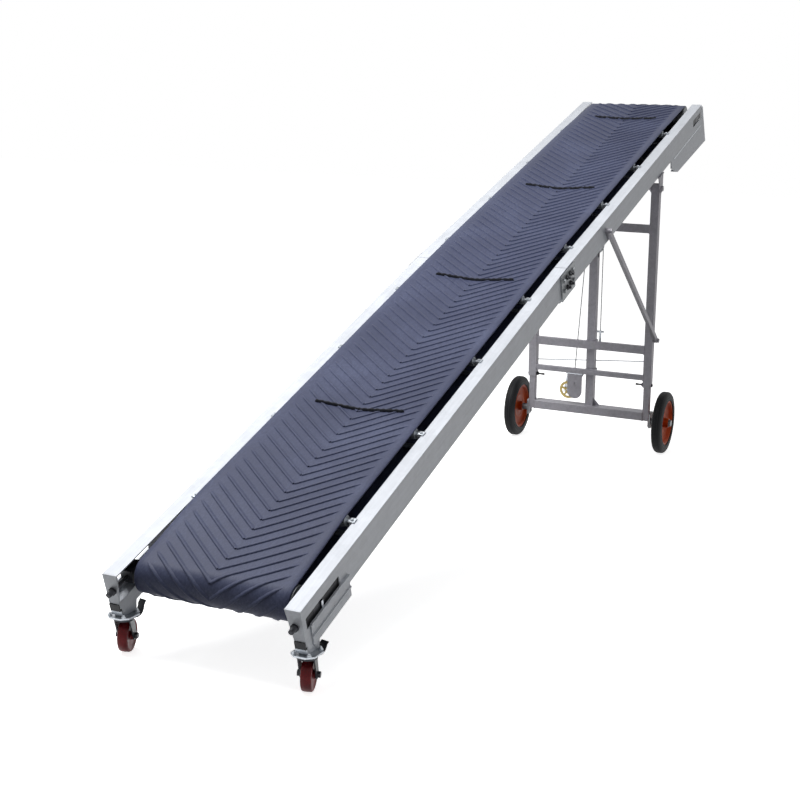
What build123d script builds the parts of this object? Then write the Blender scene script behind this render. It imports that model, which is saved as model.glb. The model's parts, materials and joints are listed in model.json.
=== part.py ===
"""Mobile belt conveyor: an inclined troughed chevron belt on a wheeled, winch-raised stand.

Millimetres. X runs from the tail (low end) to the head, Y is across, Z is up.
The conveyor itself is drawn flat, along its own length, and then tilted by INCLINE; past the splice it is
flatter by BEND. The stand is drawn upright and then leaned about the wheel axle.
"""
import os
from math import asin, atan2, cos, degrees, hypot, radians, sin, tan

from build123d import *

os.makedirs("parts", exist_ok=True)

# Conveyor frame
INCLINE = 19.645          # slope of the lower rails, degrees
BEND = 1.5                # upper rails are flatter by this
TAIL_TOP = 266.9          # height of the rail's top corner at the tail
RAIL_LENGTH = 4510.0
RAIL_DEPTH = 100.0
RAIL_FLANGE = 50.0        # top flange, turned inward
RAIL_LIP = 36.0           # bottom flange, turned inward
RAIL_WALL = 4.0
SPLICE_AT = 2262.0        # the two rail lengths meet here
SPLICE_LENGTH = 160.0
SPLICE_PLATE = 6.0
SPLICE_FOOT = 10.0        # pad under the rail
SPLICE_BOLTS = (20.0, 56.0)  # from the joint, each way
SPLICE_ROWS = (30.0, 72.0)  # bolt rows below the rail top
CROSS_TUBE = (30.0, 16.0)  # along the rail, height
CROSS_WALL = 2.0
END_PLATE = 5.0
END_DROP = 19.0           # end plate below the rail
BOLT = 17.0               # across the flats of the common bolt heads
BOLT_HEAD = 8.0

# Belt and rollers
BELT_WIDTH = 500.0
BELT_THICK = 6.0
EDGE_GAP = 20.0           # belt edge to rail flange, seen from above
TROUGH_RISE = 22.0        # edge above the middle, on the idlers
RUN_GAP = 0.2             # play between the belt and what it runs on
RIB_PITCH = 51.0
RIB_SWEEP = 39.0          # arms ahead of straight across, degrees
RIB_MARGIN = 32.0         # plain belt outside the arms
RIB_FOOT = 13.0
RIB_HEIGHT = 5.0
CLEAT_REACH = 165.0       # half length of a cross cleat
CLEAT_FOOT = 16.0
CLEAT_HEIGHT = 9.0
CLEAT_FIRST = 1033.0
CLEAT_PITCH = 1057.0
SINK = 1.5                # ribs and cleats reach this far into the belt
RIB_PLAY = 1.2            # return rollers below the ribs
TAIL_AT = 95.0            # tail pulley, along the rail
TAIL_RADIUS = 49.0
HEAD_INSET = 80.0         # drum axis from the head end of the rails
HEAD_RADIUS = 56.5
HEAD_RISE = 13.0          # belt at the drum, above the rail tops
PULLEY_OVER = 5.0         # pulley past the belt edge, each side
TAIL_AXLE = 12.5
HEAD_AXLE = 15.0
IDLER_RADIUS = 17.0
IDLER_COUNT = 8
IDLER_FIRST = 425.0       # first idler from the tail end
IDLER_LAST = 512.0        # last idler from the head end
IDLER_SHAFT = 6.0
IDLER_MIDDLE = 10.0       # rollers start this far from the middle
IDLER_BAR = (22.0, 4.0)   # along the rail, thickness
IDLER_UNDER = 6.0         # bar below the rollers
IDLER_POST = 7.0          # bar's posts outside the belt edge
HOOK_REACH = 8.0          # hooks on the rail flange
RETURN_DEPTH = 68.0       # outer face of the return run, below the rail tops
RETURN_RADIUS = 12.5
RETURN_SHAFT = 5.0
RETURN_COUNT = 4
RETURN_FIRST = 560.0      # from the tail end
RETURN_LAST = 1050.0      # from the head end
SNUB_LAST = 520.0         # snub roller from the head end
SNUB_DEPTH = 150.0
BORE_PLAY = 0.1

# Head plates and take-ups
HEAD_PLATE = 6.0
HEAD_PLATE_LENGTH = 621.0  # under the rail
HEAD_STEP = 39.0          # depth below the rail at the plate's tail edge
HEAD_CUT = (121.0, 96.0)  # end of the sloped lower edge: along, below the rail
HEAD_NOSE = (86.0, 119.0)  # lower head corner: past the rail, below it
HEAD_TOP = (28.0, 15.0)   # upper head corner: past the rail, below its top
HEAD_TIE = (190.0, 12.0)  # tie behind the drum axis, radius
SLOT_HEIGHT = 36.0
SLOT_CORNER = 3.0
TAIL_SLOT = (80.0, 120.0)  # slot reach behind and ahead of the pulley axle
HEAD_SLOT = (100.0, 70.0)
AXLE_BLOCK = (60.0, 40.0)  # along the rail, height
BLOCK_INSET = 6.0         # axle block inside the flange edge
DRUM_BLOCK = (68.0, 24.0)  # along the rail, above the axle
SCREW_RADIUS = 6.0
SCREW_OUT = 24.0
SCREW_NUT = 10.0
TAKE_UP_TAB = (8.0, 20.0)  # tab that shows in the slot, ahead of the axle

# Tail feet and casters
FOOT_LENGTH = 265.0
FOOT_DEPTH = 38.0
FOOT_WALL = 3.0
FOOT_TIE = (40.0, 20.0)   # tie from the front of the foot, size
GUIDE_TOP = 65.0          # upper edge of the side guide, below the rail tops
GUIDE_START = 30.0
GUIDE_PLATE = 4.0
GUIDE_BEAD = 5.0
PLUG_FLANGE = 3.0
PLUG_DEPTH = 12.0
WEDGE_INSET = 4.0
CASTER_RADIUS = 50.0
CASTER_WIDTH = 32.0
CASTER_TRAIL = 32.0
CASTER_TURN = 16.0        # both casters stand turned by this, degrees
CASTER_AT = 74.0          # swivel axis, from the tail corner
CASTER_HEIGHT = 126.0     # floor to the top of the plate
CASTER_PLATE = (92.0, 76.0, 5.0)
PLATE_CORNER = 20.0
RACE_RADIUS = 22.0
RACE_HEIGHT = 5.0
CROWN_RADIUS = 30.0
CROWN_HEIGHT = 7.0
KINGPIN = 6.0
KING_NUT = 5.0
CASTER_AXLE = 5.0
CASTER_HUB = 13.0
CASTER_EDGE = 5.0
FORK_GAP = 5.0            # wheel to fork leg
FORK_PLATE = 4.0
FORK_EYE = 13.0
PEDAL = (14.0, 4.0, 92.0)  # brake pedal: half width, thickness, reach

# Stand: uprights and bars ride with the conveyor; all heights are before the stand is leaned
LEAN = 5.5                # stand leans back toward the tail, degrees
PIVOT_GAP = 210.0         # pivot behind the head plate, along the rail
PIVOT_DROP = 67.0         # below the rail
PIVOT_PIN = 8.0
PIVOT_NUT = 24.0
LUG_PLATE = 5.0
LUG_LENGTH = 76.0
LUG_EYE = 22.0
TUBE = 40.0
TUBE_WALL = 4.0
UPRIGHT_FOOT = 330.0      # height of the uprights' lower ends
UPRIGHT_OVER = 22.0       # upright past the pivot
LOCK_UP = 10.0            # lock handle above the upright's lower end
LOCK_LENGTH = 40.0
BAR_DEPTH = 20.0
BAR_WALL = 2.0
TOP_BAR = (216.0, 40.0)   # below the pivot, height
MID_BAR = (500.0, 40.0)   # lower face, height
LOW_BAR = (366.0, 25.0)
STRAP = 5.0               # strap round the mast
STRUT_REACH = 889.0       # strut's upper bolt from the pivot, along the rail
STRUT_DROP = 45.0         # bolt below the rail top, on the web
STRUT_FOOT = 572.0
STRUT_DEPTH = 24.0
STRUT_THICK = 16.0
STRUT_WASHER = 4.0
STRUT_BOLT = 6.0
LOCK_WIRE = (403.0, 449.0, 2.5)  # height at the left, at the right, radius
WIRE_BACK = 9.5           # wire behind the mast

# Stand: legs, mast and axle stay on the ground
SLIDE_PLAY = 0.5          # between tubes that slide in each other
RAISE = 340.0             # travel of the stand
BEAM_TOP = 200.0
BEAM = (60.0, 42.0)       # depth, height
LEG_WALL = 3.0
LEG_REACH = 560.0         # legs inside the uprights
MAST_WALL = 3.0
MAST_UNDER = 55.0         # mast below the top bar
MAST_FORK = 84.0          # open fork at the mast's top
GUSSET = (32.0, 36.0, 6.0)
SHEAVE_DROP = 25.0        # sheave axis below the mast's top
SHEAVE_RADIUS = 46.0
SHEAVE_WIDTH = 14.0
SHEAVE_PIN = 8.0
ROPE = 2.5
ANCHOR_UP = 50.0          # rope's end above the middle bar
ANCHOR_STEM = 5.0
ANCHOR_WING = 17.5
AXLE_PLATE = (54.0, 10.0, 34.0)  # depth, thickness, below the axle
WHEEL_RADIUS = 154.0
TYRE_WIDTH = 50.0
RIM_RADIUS = 112.0
AXLE = 10.0
AXLE_COLLAR = (16.0, 30.0)  # radius, length
AXLE_NUT = 12.0
HUB_RADIUS = 24.0
HUB_LENGTH = 58.0

# Winch under the lower bar; the drum turns about an axis along the conveyor
WINCH_AT = (112.0, 96.0)  # drum axis: across, below the bar
WINCH_GEAR = (46.0, 7.0)  # radius, thickness
WINCH_DRUM = 18.0
WINCH_PLATE = 4.0
WINCH_TOP = (34.0, 118.0)  # frame across, at the bar
WINCH_SHAFT = 8.0
WINCH_EAR = 24.0
COVER_ROUND = 38.0
COVER_DROP = 94.0         # middle of the cover's round end, below the bar
CRANK_AT = (78.0, 49.0)   # crank shaft: across, below the bar
CRANK = 6.0

belt_half = BELT_WIDTH / 2
half = belt_half + EDGE_GAP + RAIL_FLANGE  # outer face of the rails
slope = radians(INCLINE)
deck = Plane(origin=(0, 0, TAIL_TOP), x_dir=(cos(slope), 0, sin(slope)), z_dir=(-sin(slope), 0, cos(slope)))
tail_run = deck.location
bend = Pos(SPLICE_AT, 0, -RAIL_DEPTH) * Rotation(0, BEND, 0) * Pos(-SPLICE_AT, 0, RAIL_DEPTH)
head_run = tail_run * bend
forward = (1, 0, 0)
web = half - RAIL_WALL                     # inner face of the web
lip_top = RAIL_WALL - RAIL_DEPTH
lip_in = half - RAIL_LIP
head_at = RAIL_LENGTH - HEAD_INSET
tail_low = -(TAIL_RADIUS + RUN_GAP + BELT_THICK)
head_mid = HEAD_RISE - BELT_THICK - RUN_GAP - HEAD_RADIUS
tube_mid = half - TUBE / 2                 # uprights stand under the rails
plate_start = RAIL_LENGTH - HEAD_PLATE_LENGTH
pivot_at = plate_start - PIVOT_GAP
strut_at = pivot_at - STRUT_REACH
snub_at = RAIL_LENGTH - SNUB_LAST


def spread(first, last, count):
    """Even places from first to last."""
    return [first + (last - first) * i / (count - 1) for i in range(count)]


idlers = spread(IDLER_FIRST, RAIL_LENGTH - IDLER_LAST, IDLER_COUNT)
returns_at = spread(RETURN_FIRST, RAIL_LENGTH - RETURN_LAST, RETURN_COUNT)
nodes = {}


def slab(xs, ys, zs):
    """A box from three (low, high) pairs."""
    spans = (xs, ys, zs)
    return Pos(*[sum(s) / 2 for s in spans]) * Box(*[abs(s[1] - s[0]) for s in spans])


def rod(start, end, radius):
    """A round bar between two points."""
    run = Vector(end) - Vector(start)
    return extrude(Plane(origin=start, z_dir=run) * Circle(radius), run.length)


def hexagon(start, end, across):
    """A bolt head or nut between two points."""
    run = Vector(end) - Vector(start)
    return extrude(Plane(origin=start, z_dir=run) * RegularPolygon(across / 2, 6, major_radius=False), run.length)


def panel(outline, ys):
    """A flat piece from an outline in X and Z, between two places across."""
    return extrude(Pos(0, ys[0], 0) * (Plane.XZ * outline), ys[1] - ys[0], dir=(0, 1, 0))


def tube(xs, ys, zs, wall, along):
    """A square tube, open along the named axis."""
    spans = {"x": xs, "y": ys, "z": zs}
    inner = {k: s if k == along else (s[0] + wall, s[1] - wall) for k, s in spans.items()}
    return slab(xs, ys, zs) - slab(inner["x"], inner["y"], inner["z"])


def run_at(along):
    """Placing of what stands on the rails at a place along them."""
    return tail_run if along < SPLICE_AT else head_run


def on_deck(along, across, up):
    """World point of a place on the tilted conveyor."""
    return (run_at(along) * Pos(along, across, up)).position


def flat(along, up):
    """A place on either run, measured on the tail run."""
    spot = (bend * Pos(along, 0, up)).position
    return (along, up) if along < SPLICE_AT else (spot.X, spot.Z)


def pair(name, left):
    """The left piece and its mirrored right one, as two nodes."""
    nodes[f"{name}_left"] = left
    nodes[f"{name}_right"] = mirror(left, about=Plane.XZ)


def both(name, left):
    """The left piece and its mirrored right one, as one node."""
    nodes[name] = Compound([left, mirror(left, about=Plane.XZ)])


# Rails: a lipped channel, open to the belt side, in two lengths
section = Plane.YZ * Polygon(
    (half, 0), (half - RAIL_FLANGE, 0), (half - RAIL_FLANGE, -RAIL_WALL), (web, -RAIL_WALL),
    (web, lip_top), (lip_in, lip_top), (lip_in, -RAIL_DEPTH), (half, -RAIL_DEPTH), align=None)


def web_slot(axis_at, axis_up, reach):
    """Cut for an axle that is shifted along the rail."""
    ends = (axis_at - reach[0], axis_at + reach[1])
    heights = (axis_up - SLOT_HEIGHT / 2, axis_up + SLOT_HEIGHT / 2)
    return fillet(slab(ends, (web - 1, half + 1), heights).edges().filter_by(Axis.Y), SLOT_CORNER)


rail_low = extrude(section, SPLICE_AT, dir=forward) - web_slot(TAIL_AT, tail_low, TAIL_SLOT)
rail_high = extrude(Pos(SPLICE_AT, 0, 0) * section, RAIL_LENGTH - SPLICE_AT, dir=forward)
rail_high -= web_slot(head_at, head_mid, HEAD_SLOT)
pair("rail_lower", tail_run * rail_low)
pair("rail_upper", head_run * rail_high)

# Splice: a strap on each rail's web with a pad under it, and bolts
strap_out = half + SPLICE_PLATE
pad_low = -RAIL_DEPTH - SPLICE_FOOT
under = half - RAIL_LIP / 2
straps = []
for side, run in ((-1, tail_run), (1, head_run)):
    span = sorted((SPLICE_AT, SPLICE_AT + side * SPLICE_LENGTH / 2))
    strap = slab(span, (half, strap_out), (pad_low, -RAIL_WALL))
    strap += slab(span, (lip_in, half), (pad_low, -RAIL_DEPTH))
    for at in [SPLICE_AT + side * step for step in SPLICE_BOLTS]:
        strap += hexagon((at, under, pad_low), (at, under, pad_low - BOLT_HEAD), BOLT)
        strap += rod((at, under, pad_low - BOLT_HEAD), (at, under, pad_low - 2 * BOLT_HEAD), SCREW_RADIUS)
        for row in SPLICE_ROWS:
            strap += hexagon((at, strap_out, -row), (at, strap_out + BOLT_HEAD, -row), BOLT)
    straps.append(run * strap)
both("splices", straps[0] + straps[1])

# Cross tubes rest on the lips; one more ties the feet and one the head plates
cross_at = [(a + b) / 2 for a, b in zip(returns_at, returns_at[1:])]
cross = [run_at(at) * tube((at - CROSS_TUBE[0] / 2, at + CROSS_TUBE[0] / 2), (-web, web),
                           (lip_top, lip_top + CROSS_TUBE[1]), CROSS_WALL, "y") for at in cross_at]
foot_low = -RAIL_DEPTH - FOOT_DEPTH
tie_end = FOOT_LENGTH - FOOT_TIE[0] + FOOT_TIE[1]
cross.append(tail_run * tube((FOOT_LENGTH - FOOT_TIE[0], tie_end), (-lip_in, lip_in),
                             (foot_low, foot_low + FOOT_TIE[1]), CROSS_WALL, "y"))
plate_low = -RAIL_DEPTH - HEAD_CUT[1]
plate_in = half - HEAD_PLATE
tie_at = head_at - HEAD_TIE[0]
tie_up = plate_low + HEAD_PLATE + HEAD_TIE[1]
cross.append(head_run * rod((tie_at, -plate_in, tie_up), (tie_at, plate_in, tie_up), HEAD_TIE[1]))
nodes["cross_tubes"] = Compound(cross)

# Tail end: closing plates, and take-ups that carry the pulley's axle in the channel
end_plate = extrude(Plane.YZ * Polygon(
    (half, 0), (half - RAIL_FLANGE, 0), (lip_in, -RAIL_DEPTH), (lip_in, -RAIL_DEPTH - END_DROP),
    (half, -RAIL_DEPTH - END_DROP), align=None), END_PLATE, dir=(-1, 0, 0))
screw_y = half - RAIL_FLANGE / 2
end_plate -= rod((1, screw_y, tail_low), (-END_PLATE - 1, screw_y, tail_low), SCREW_RADIUS + 3 * BORE_PLAY)
both("tail_end_plates", tail_run * end_plate)

block_in = half - RAIL_FLANGE + BLOCK_INSET
block_back = TAIL_AT - AXLE_BLOCK[0] / 2
take_up = slab((block_back, TAIL_AT + AXLE_BLOCK[0] / 2), (block_in, web),
               (tail_low - AXLE_BLOCK[1] / 2, tail_low + AXLE_BLOCK[1] / 2))
take_up -= rod((TAIL_AT, block_in - 1, tail_low), (TAIL_AT, web - 2, tail_low), TAIL_AXLE + BORE_PLAY)
take_up += rod((block_back, screw_y, tail_low), (-END_PLATE - SCREW_OUT, screw_y, tail_low), SCREW_RADIUS)
take_up += hexagon((-END_PLATE, screw_y, tail_low), (-END_PLATE - SCREW_NUT, screw_y, tail_low), BOLT + 2)
take_up += slab((TAIL_AT + TAKE_UP_TAB[0], TAIL_AT + TAKE_UP_TAB[1]), (web, half),
                (tail_low - SLOT_HEIGHT / 3, tail_low + SLOT_HEIGHT / 3))
both("take_ups", tail_run * take_up)

pulley_half = belt_half + PULLEY_OVER
axle_half = web - 3
tail_pulley = rod((TAIL_AT, -pulley_half, tail_low), (TAIL_AT, pulley_half, tail_low), TAIL_RADIUS)
tail_pulley += rod((TAIL_AT, -axle_half, tail_low), (TAIL_AT, axle_half, tail_low), TAIL_AXLE)
nodes["tail_pulley"] = tail_run * tail_pulley

# Head end: motor drum, its axle blocks in the channel, and the deep side plates
drum = rod((head_at, -pulley_half, head_mid), (head_at, pulley_half, head_mid), HEAD_RADIUS)
drum = chamfer(drum.edges(), PULLEY_OVER / 2)
drum += rod((head_at, -axle_half, head_mid), (head_at, axle_half, head_mid), HEAD_AXLE)
nodes["head_drum"] = head_run * drum

drum_block = slab((head_at - DRUM_BLOCK[0] / 2, head_at + DRUM_BLOCK[0] / 2), (block_in, web),
                  (lip_top, head_mid + DRUM_BLOCK[1]))
drum_block -= rod((head_at, block_in - 1, head_mid), (head_at, web - 2, head_mid), HEAD_AXLE + BORE_PLAY)
both("drum_blocks", head_run * drum_block)

cut_end = plate_start + HEAD_CUT[0]
nose = (RAIL_LENGTH + HEAD_NOSE[0], -RAIL_DEPTH - HEAD_NOSE[1])
outline = Polygon(
    (plate_start, -RAIL_DEPTH), (RAIL_LENGTH, -RAIL_DEPTH), (RAIL_LENGTH, -HEAD_TOP[1]),
    (RAIL_LENGTH + HEAD_TOP[0], -HEAD_TOP[1]), nose, (cut_end, plate_low), (plate_start, -RAIL_DEPTH - HEAD_STEP),
    align=None)
edge = Polygon(
    (cut_end, plate_low), nose, (nose[0], nose[1] + HEAD_PLATE), (cut_end, plate_low + HEAD_PLATE), align=None)
head_plate = panel(outline, (plate_in, half)) + panel(edge, (lip_in, plate_in))
head_plate += slab((cut_end, RAIL_LENGTH), (lip_in, plate_in), (-RAIL_DEPTH - HEAD_PLATE, -RAIL_DEPTH))
pair("head_plate", head_run * head_plate)

# Belt: troughed top run, wraps, and the return run that rises between the rails
joint = sum(at < SPLICE_AT for at in idlers)
stops = (  # along, middle height, edge height
    (TAIL_AT, 0.0, 0.0),
    (idlers[0], 0.0, TROUGH_RISE),
    (idlers[joint - 1], 0.0, TROUGH_RISE),
    (idlers[joint], 0.0, TROUGH_RISE),
    (idlers[-1], 0.0, TROUGH_RISE),
    (head_at, HEAD_RISE, HEAD_RISE))
stations = [(*flat(at, middle), flat(at, middle)[1] + edge - middle) for at, middle, edge in stops]


def belt_section(at, middle, edge):
    """Cross-section of the top run at one place along it."""
    top = [(-belt_half, edge), (0, middle), (belt_half, edge)]
    low = [(y, z - BELT_THICK) for y, z in reversed(top)]
    return Plane(origin=(at, 0, 0), x_dir=(0, 1, 0), z_dir=forward) * Polygon(*top, *low, align=None)


belt = Part()
for first, second in zip(stations, stations[1:]):
    belt += loft([belt_section(*first), belt_section(*second)], ruled=True)


def wrap(at, up, radius, leave, turn):
    """Belt around a pulley, from its top to where the return run leaves; turn is +1 at the tail."""
    inner = radius + RUN_GAP
    outer = inner + BELT_THICK
    run = (turn * (leave[0] - at), leave[1] - up)
    tilt = atan2(run[1], run[0]) + asin(outer / hypot(*run))
    arcs = [CenterArc((at, up), r, 90, turn * (180 + degrees(tilt))) for r in (inner, outer)]
    ring = make_face([*arcs, Line(arcs[0] @ 0, arcs[1] @ 0), Line(arcs[0] @ 1, arcs[1] @ 1)])
    return panel(ring, (-belt_half, belt_half)), arcs[1] @ 1, arcs[0] @ 1


return_line = [flat(at, -RETURN_DEPTH) for at in returns_at] + [flat(snub_at, -SNUB_DEPTH)]
inside_line = [flat(at, BELT_THICK - RETURN_DEPTH) for at in returns_at]
inside_line.append(flat(snub_at, BELT_THICK - SNUB_DEPTH))
tail_wrap, tail_outer, tail_inner = wrap(TAIL_AT, tail_low, TAIL_RADIUS, return_line[0], 1)
head_wrap, outer, inner = wrap(head_at, head_mid, HEAD_RADIUS, (snub_at, -SNUB_DEPTH), -1)
head_outer, head_inner = flat(outer.X, outer.Y), flat(inner.X, inner.Y)
return_run = Polygon(tail_outer, *return_line, head_outer, head_inner, *reversed(inside_line), tail_inner, align=None)
belt += tail_wrap
belt += bend * head_wrap
belt += panel(return_run, (-belt_half, belt_half))

# Chevron ribs and cross cleats, as arms from the middle of the belt
low_line = [(tail_outer.X, tail_outer.Y), *return_line, head_outer]


def between(line, at):
    """The stretch of a line around a place, and the share along it."""
    for first, second in zip(line, line[1:]):
        if at <= second[0]:
            break
    return first, second, (at - first[0]) / (second[0] - first[0])


def top_face(at, across):
    """Height of the top run."""
    first, second, share = between(stations, at)
    middle = first[1] + share * (second[1] - first[1])
    edge = first[2] + share * (second[2] - first[2])
    return middle + (edge - middle) * abs(across) / belt_half


def low_face(at, across):
    """Height of the return run's outer face."""
    first, second, share = between(low_line, at)
    return first[1] + share * (second[1] - first[1])


def arms(face, breaks, at, reach, ahead, foot, height, out):
    """The two arms of a rib or cleat, broken where the belt bends much; out is +1 on the top run and -1 below."""
    bends = [(stop - at) / ahead for stop in breaks] if ahead else []
    shares = [0, *sorted(share for share in bends if 0.02 < share < 0.98), 1]
    wedge = Polygon((-foot / 2, -SINK), (foot / 2, -SINK), (0, height), align=None)
    made = []
    for side in (-1, 1):
        knots = [Vector(at + ahead * share, side * reach * share, face(at + ahead * share, reach * share))
                 for share in shares]
        for start, end in zip(knots, knots[1:]):
            run = end - start
            overlap = foot / 4
            plane = Plane(origin=start - run.normalized() * overlap, x_dir=run.cross(Vector(0, 0, out)), z_dir=run)
            made.append(extrude(plane * wedge, run.length + overlap, dir=run))
    return made


rib_reach = belt_half - RIB_MARGIN
ahead = rib_reach * tan(radians(RIB_SWEEP))
lugs = []
top_breaks = (stations[1][0],)
low_breaks = (low_line[1][0], low_line[-3][0], low_line[-2][0])
rib_first = TAIL_AT + RIB_PITCH / 4
for index in range(int((stations[-1][0] - ahead - rib_first) // RIB_PITCH) + 1):
    lugs += arms(top_face, top_breaks, rib_first + index * RIB_PITCH, rib_reach, ahead, RIB_FOOT, RIB_HEIGHT, 1)
back_first = tail_outer.X + ahead + RIB_PITCH / 4
for index in range(int((head_outer[0] - back_first) // RIB_PITCH) + 1):
    lugs += arms(low_face, low_breaks, back_first + index * RIB_PITCH, rib_reach, -ahead, RIB_FOOT, RIB_HEIGHT, -1)
for index in range(int((head_at - CLEAT_FIRST) // CLEAT_PITCH) + 1):
    at = CLEAT_FIRST + index * CLEAT_PITCH
    lugs += arms(top_face, top_breaks, at, CLEAT_REACH, 0, CLEAT_FOOT, CLEAT_HEIGHT, 1)
for first, second in zip(returns_at, returns_at[1:]):
    lugs += arms(low_face, low_breaks, (3 * first + second) / 4, CLEAT_REACH, 0, CLEAT_FOOT, CLEAT_HEIGHT, -1)
nodes["belt"] = tail_run * belt.fuse(*lugs)

# Carrying idlers: two tilted rollers on a bar that hooks over the rails
trough = TROUGH_RISE / belt_half
roller_drop = BELT_THICK + 2 * RUN_GAP + IDLER_RADIUS
post_in = belt_half + IDLER_POST
post_out = post_in + IDLER_BAR[1]
bar_top = -roller_drop - IDLER_RADIUS - IDLER_UNDER
bar_low = bar_top - IDLER_BAR[1]
rollers = []
hangers = []


def roller_mid(at, across):
    """Point on a tilted roller's axis."""
    return (at, across, -roller_drop + abs(across) * trough)


for at in idlers:
    span = (at - IDLER_BAR[0] / 2, at + IDLER_BAR[0] / 2)
    hanger = slab(span, (-post_out, post_out), (bar_low, bar_top))
    hanger += slab((at - IDLER_SHAFT - 3, at + IDLER_SHAFT + 3), (-4, 4), (bar_top, IDLER_SHAFT - roller_drop + 2))
    for side in (-1, 1):
        inner, outer = roller_mid(at, side * IDLER_MIDDLE), roller_mid(at, side * belt_half)
        rollers.append(run_at(at) * rod(inner, outer, IDLER_RADIUS))
        hanger += slab(span, sorted((side * post_in, side * post_out)), (bar_low, IDLER_BAR[1]))
        hook = sorted((side * post_in, side * (half - RAIL_FLANGE + HOOK_REACH)))
        hanger += slab(span, hook, (0, IDLER_BAR[1]))
        hanger += rod(roller_mid(at, side * 2), inner, IDLER_SHAFT)
        hanger += rod(outer, roller_mid(at, side * (post_in + 1)), IDLER_SHAFT)
    hangers.append(run_at(at) * hanger)
nodes["carrying_rollers"] = Compound(rollers)
nodes["idler_hangers"] = Compound(hangers)

# Return rollers under the ribs, on shafts between the webs; the snub roller presses on the inner face
under_ribs = RIB_HEIGHT + RETURN_RADIUS + RIB_PLAY
above_belt = BELT_THICK + RETURN_RADIUS + RUN_GAP
returns = []
places = [(at, -RETURN_DEPTH - under_ribs, web) for at in returns_at]
for at, up, reach in [*places, (snub_at, above_belt - SNUB_DEPTH, plate_in)]:
    roller = rod((at, -pulley_half, up), (at, pulley_half, up), RETURN_RADIUS)
    roller += rod((at, -reach, up), (at, reach, up), RETURN_SHAFT)
    returns.append(run_at(at) * roller)
nodes["return_rollers"] = Compound(returns)

# Tail feet: a tube and side guide on the rail, and a wedge down to the caster plate
foot = tube((0, FOOT_LENGTH), (lip_in, half), (foot_low, -RAIL_DEPTH), FOOT_WALL, "x")
guide_out = half + GUIDE_PLATE
guide = slab((GUIDE_START, FOOT_LENGTH), (half, guide_out), (foot_low, -GUIDE_TOP))
for edge in (GUIDE_TOP, RAIL_DEPTH + GUIDE_PLATE):
    guide += slab((GUIDE_START, FOOT_LENGTH), (half, guide_out + GUIDE_PLATE), (-edge - GUIDE_BEAD, -edge))
foot_mid = half - RAIL_LIP / 2
wedge_x = (CASTER_AT + foot_low * sin(slope) / 2, CASTER_AT + CASTER_PLATE[0] / 2)
tops = [TAIL_TOP + (x + foot_low * sin(slope)) * tan(slope) + foot_low * cos(slope) + SINK for x in wedge_x]
wedge = panel(Polygon(
    (wedge_x[0], CASTER_HEIGHT), (wedge_x[1], CASTER_HEIGHT), (wedge_x[1], tops[1]), (wedge_x[0], tops[0]),
    align=None), (lip_in + WEDGE_INSET, half - WEDGE_INSET))
both("tail_feet", tail_run * (foot + guide) + wedge)
plug = slab((-PLUG_FLANGE, 0), (lip_in, half), (foot_low, -RAIL_DEPTH - END_DROP))
plug += slab((0, PLUG_DEPTH), (lip_in + FOOT_WALL, half - FOOT_WALL),
             (foot_low + FOOT_WALL, -RAIL_DEPTH - FOOT_WALL))
both("foot_plugs", tail_run * plug)

# Casters
plate_bottom = CASTER_HEIGHT - CASTER_PLATE[2]
race_low = plate_bottom - RACE_HEIGHT
crown_top = race_low - RUN_GAP
crown_low = crown_top - CROWN_HEIGHT


def swivel(height):
    """Point on the swivel axis."""
    return (CASTER_AT, foot_mid, height)


def turned(name, left):
    """The left caster piece and its mirrored right one, both turned the same way."""
    for side, mid, shape in (("left", foot_mid, left), ("right", -foot_mid, mirror(left, about=Plane.XZ))):
        turn = Pos(CASTER_AT, mid, 0) * Rotation(0, 0, CASTER_TURN) * Pos(-CASTER_AT, -mid, 0)
        nodes[f"{name}_{side}"] = turn * shape


caster_plate = Pos(*swivel(CASTER_HEIGHT - CASTER_PLATE[2] / 2)) * Box(*CASTER_PLATE)
caster_plate = chamfer(caster_plate.edges().filter_by(Axis.Z), PLATE_CORNER)
caster_plate += rod(swivel(plate_bottom), swivel(race_low), RACE_RADIUS)
caster_plate += rod(swivel(plate_bottom), swivel(crown_low - RUN_GAP), KINGPIN)
caster_plate += hexagon(swivel(crown_low - RUN_GAP), swivel(crown_low - RUN_GAP - KING_NUT), BOLT)
both("caster_plates", caster_plate)

axle_x = CASTER_AT + CASTER_TRAIL


def caster_axis(across):
    """Point on the caster's axle, from the middle of its wheel."""
    return (axle_x, foot_mid + across, CASTER_RADIUS)


leg_in = CASTER_WIDTH / 2 + FORK_GAP
leg_out = leg_in + FORK_PLATE
fork = rod(swivel(crown_low), swivel(crown_top), CROWN_RADIUS)
cheek = make_hull(
    (Pos(axle_x, CASTER_RADIUS) * Circle(FORK_EYE)).edges()
    + (Pos(CASTER_AT, crown_low + CROWN_HEIGHT / 2) * Rectangle(CROWN_RADIUS, CROWN_HEIGHT)).edges())
for side in (-1, 1):
    fork += panel(cheek, sorted((foot_mid + side * leg_in, foot_mid + side * leg_out)))
fork += slab((CASTER_AT, CASTER_AT + PEDAL[2]), (foot_mid - PEDAL[0], foot_mid + PEDAL[0]),
             (crown_low, crown_low + PEDAL[1]))
fork -= rod(swivel(crown_low - 1), swivel(crown_top + 1), KINGPIN + BORE_PLAY)
fork += rod(caster_axis(-leg_out), caster_axis(leg_out), CASTER_AXLE)
for side in (-1, 1):
    fork += hexagon(caster_axis(side * leg_out), caster_axis(side * (leg_out + BOLT_HEAD)), BOLT)
turned("caster_fork", fork)

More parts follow.
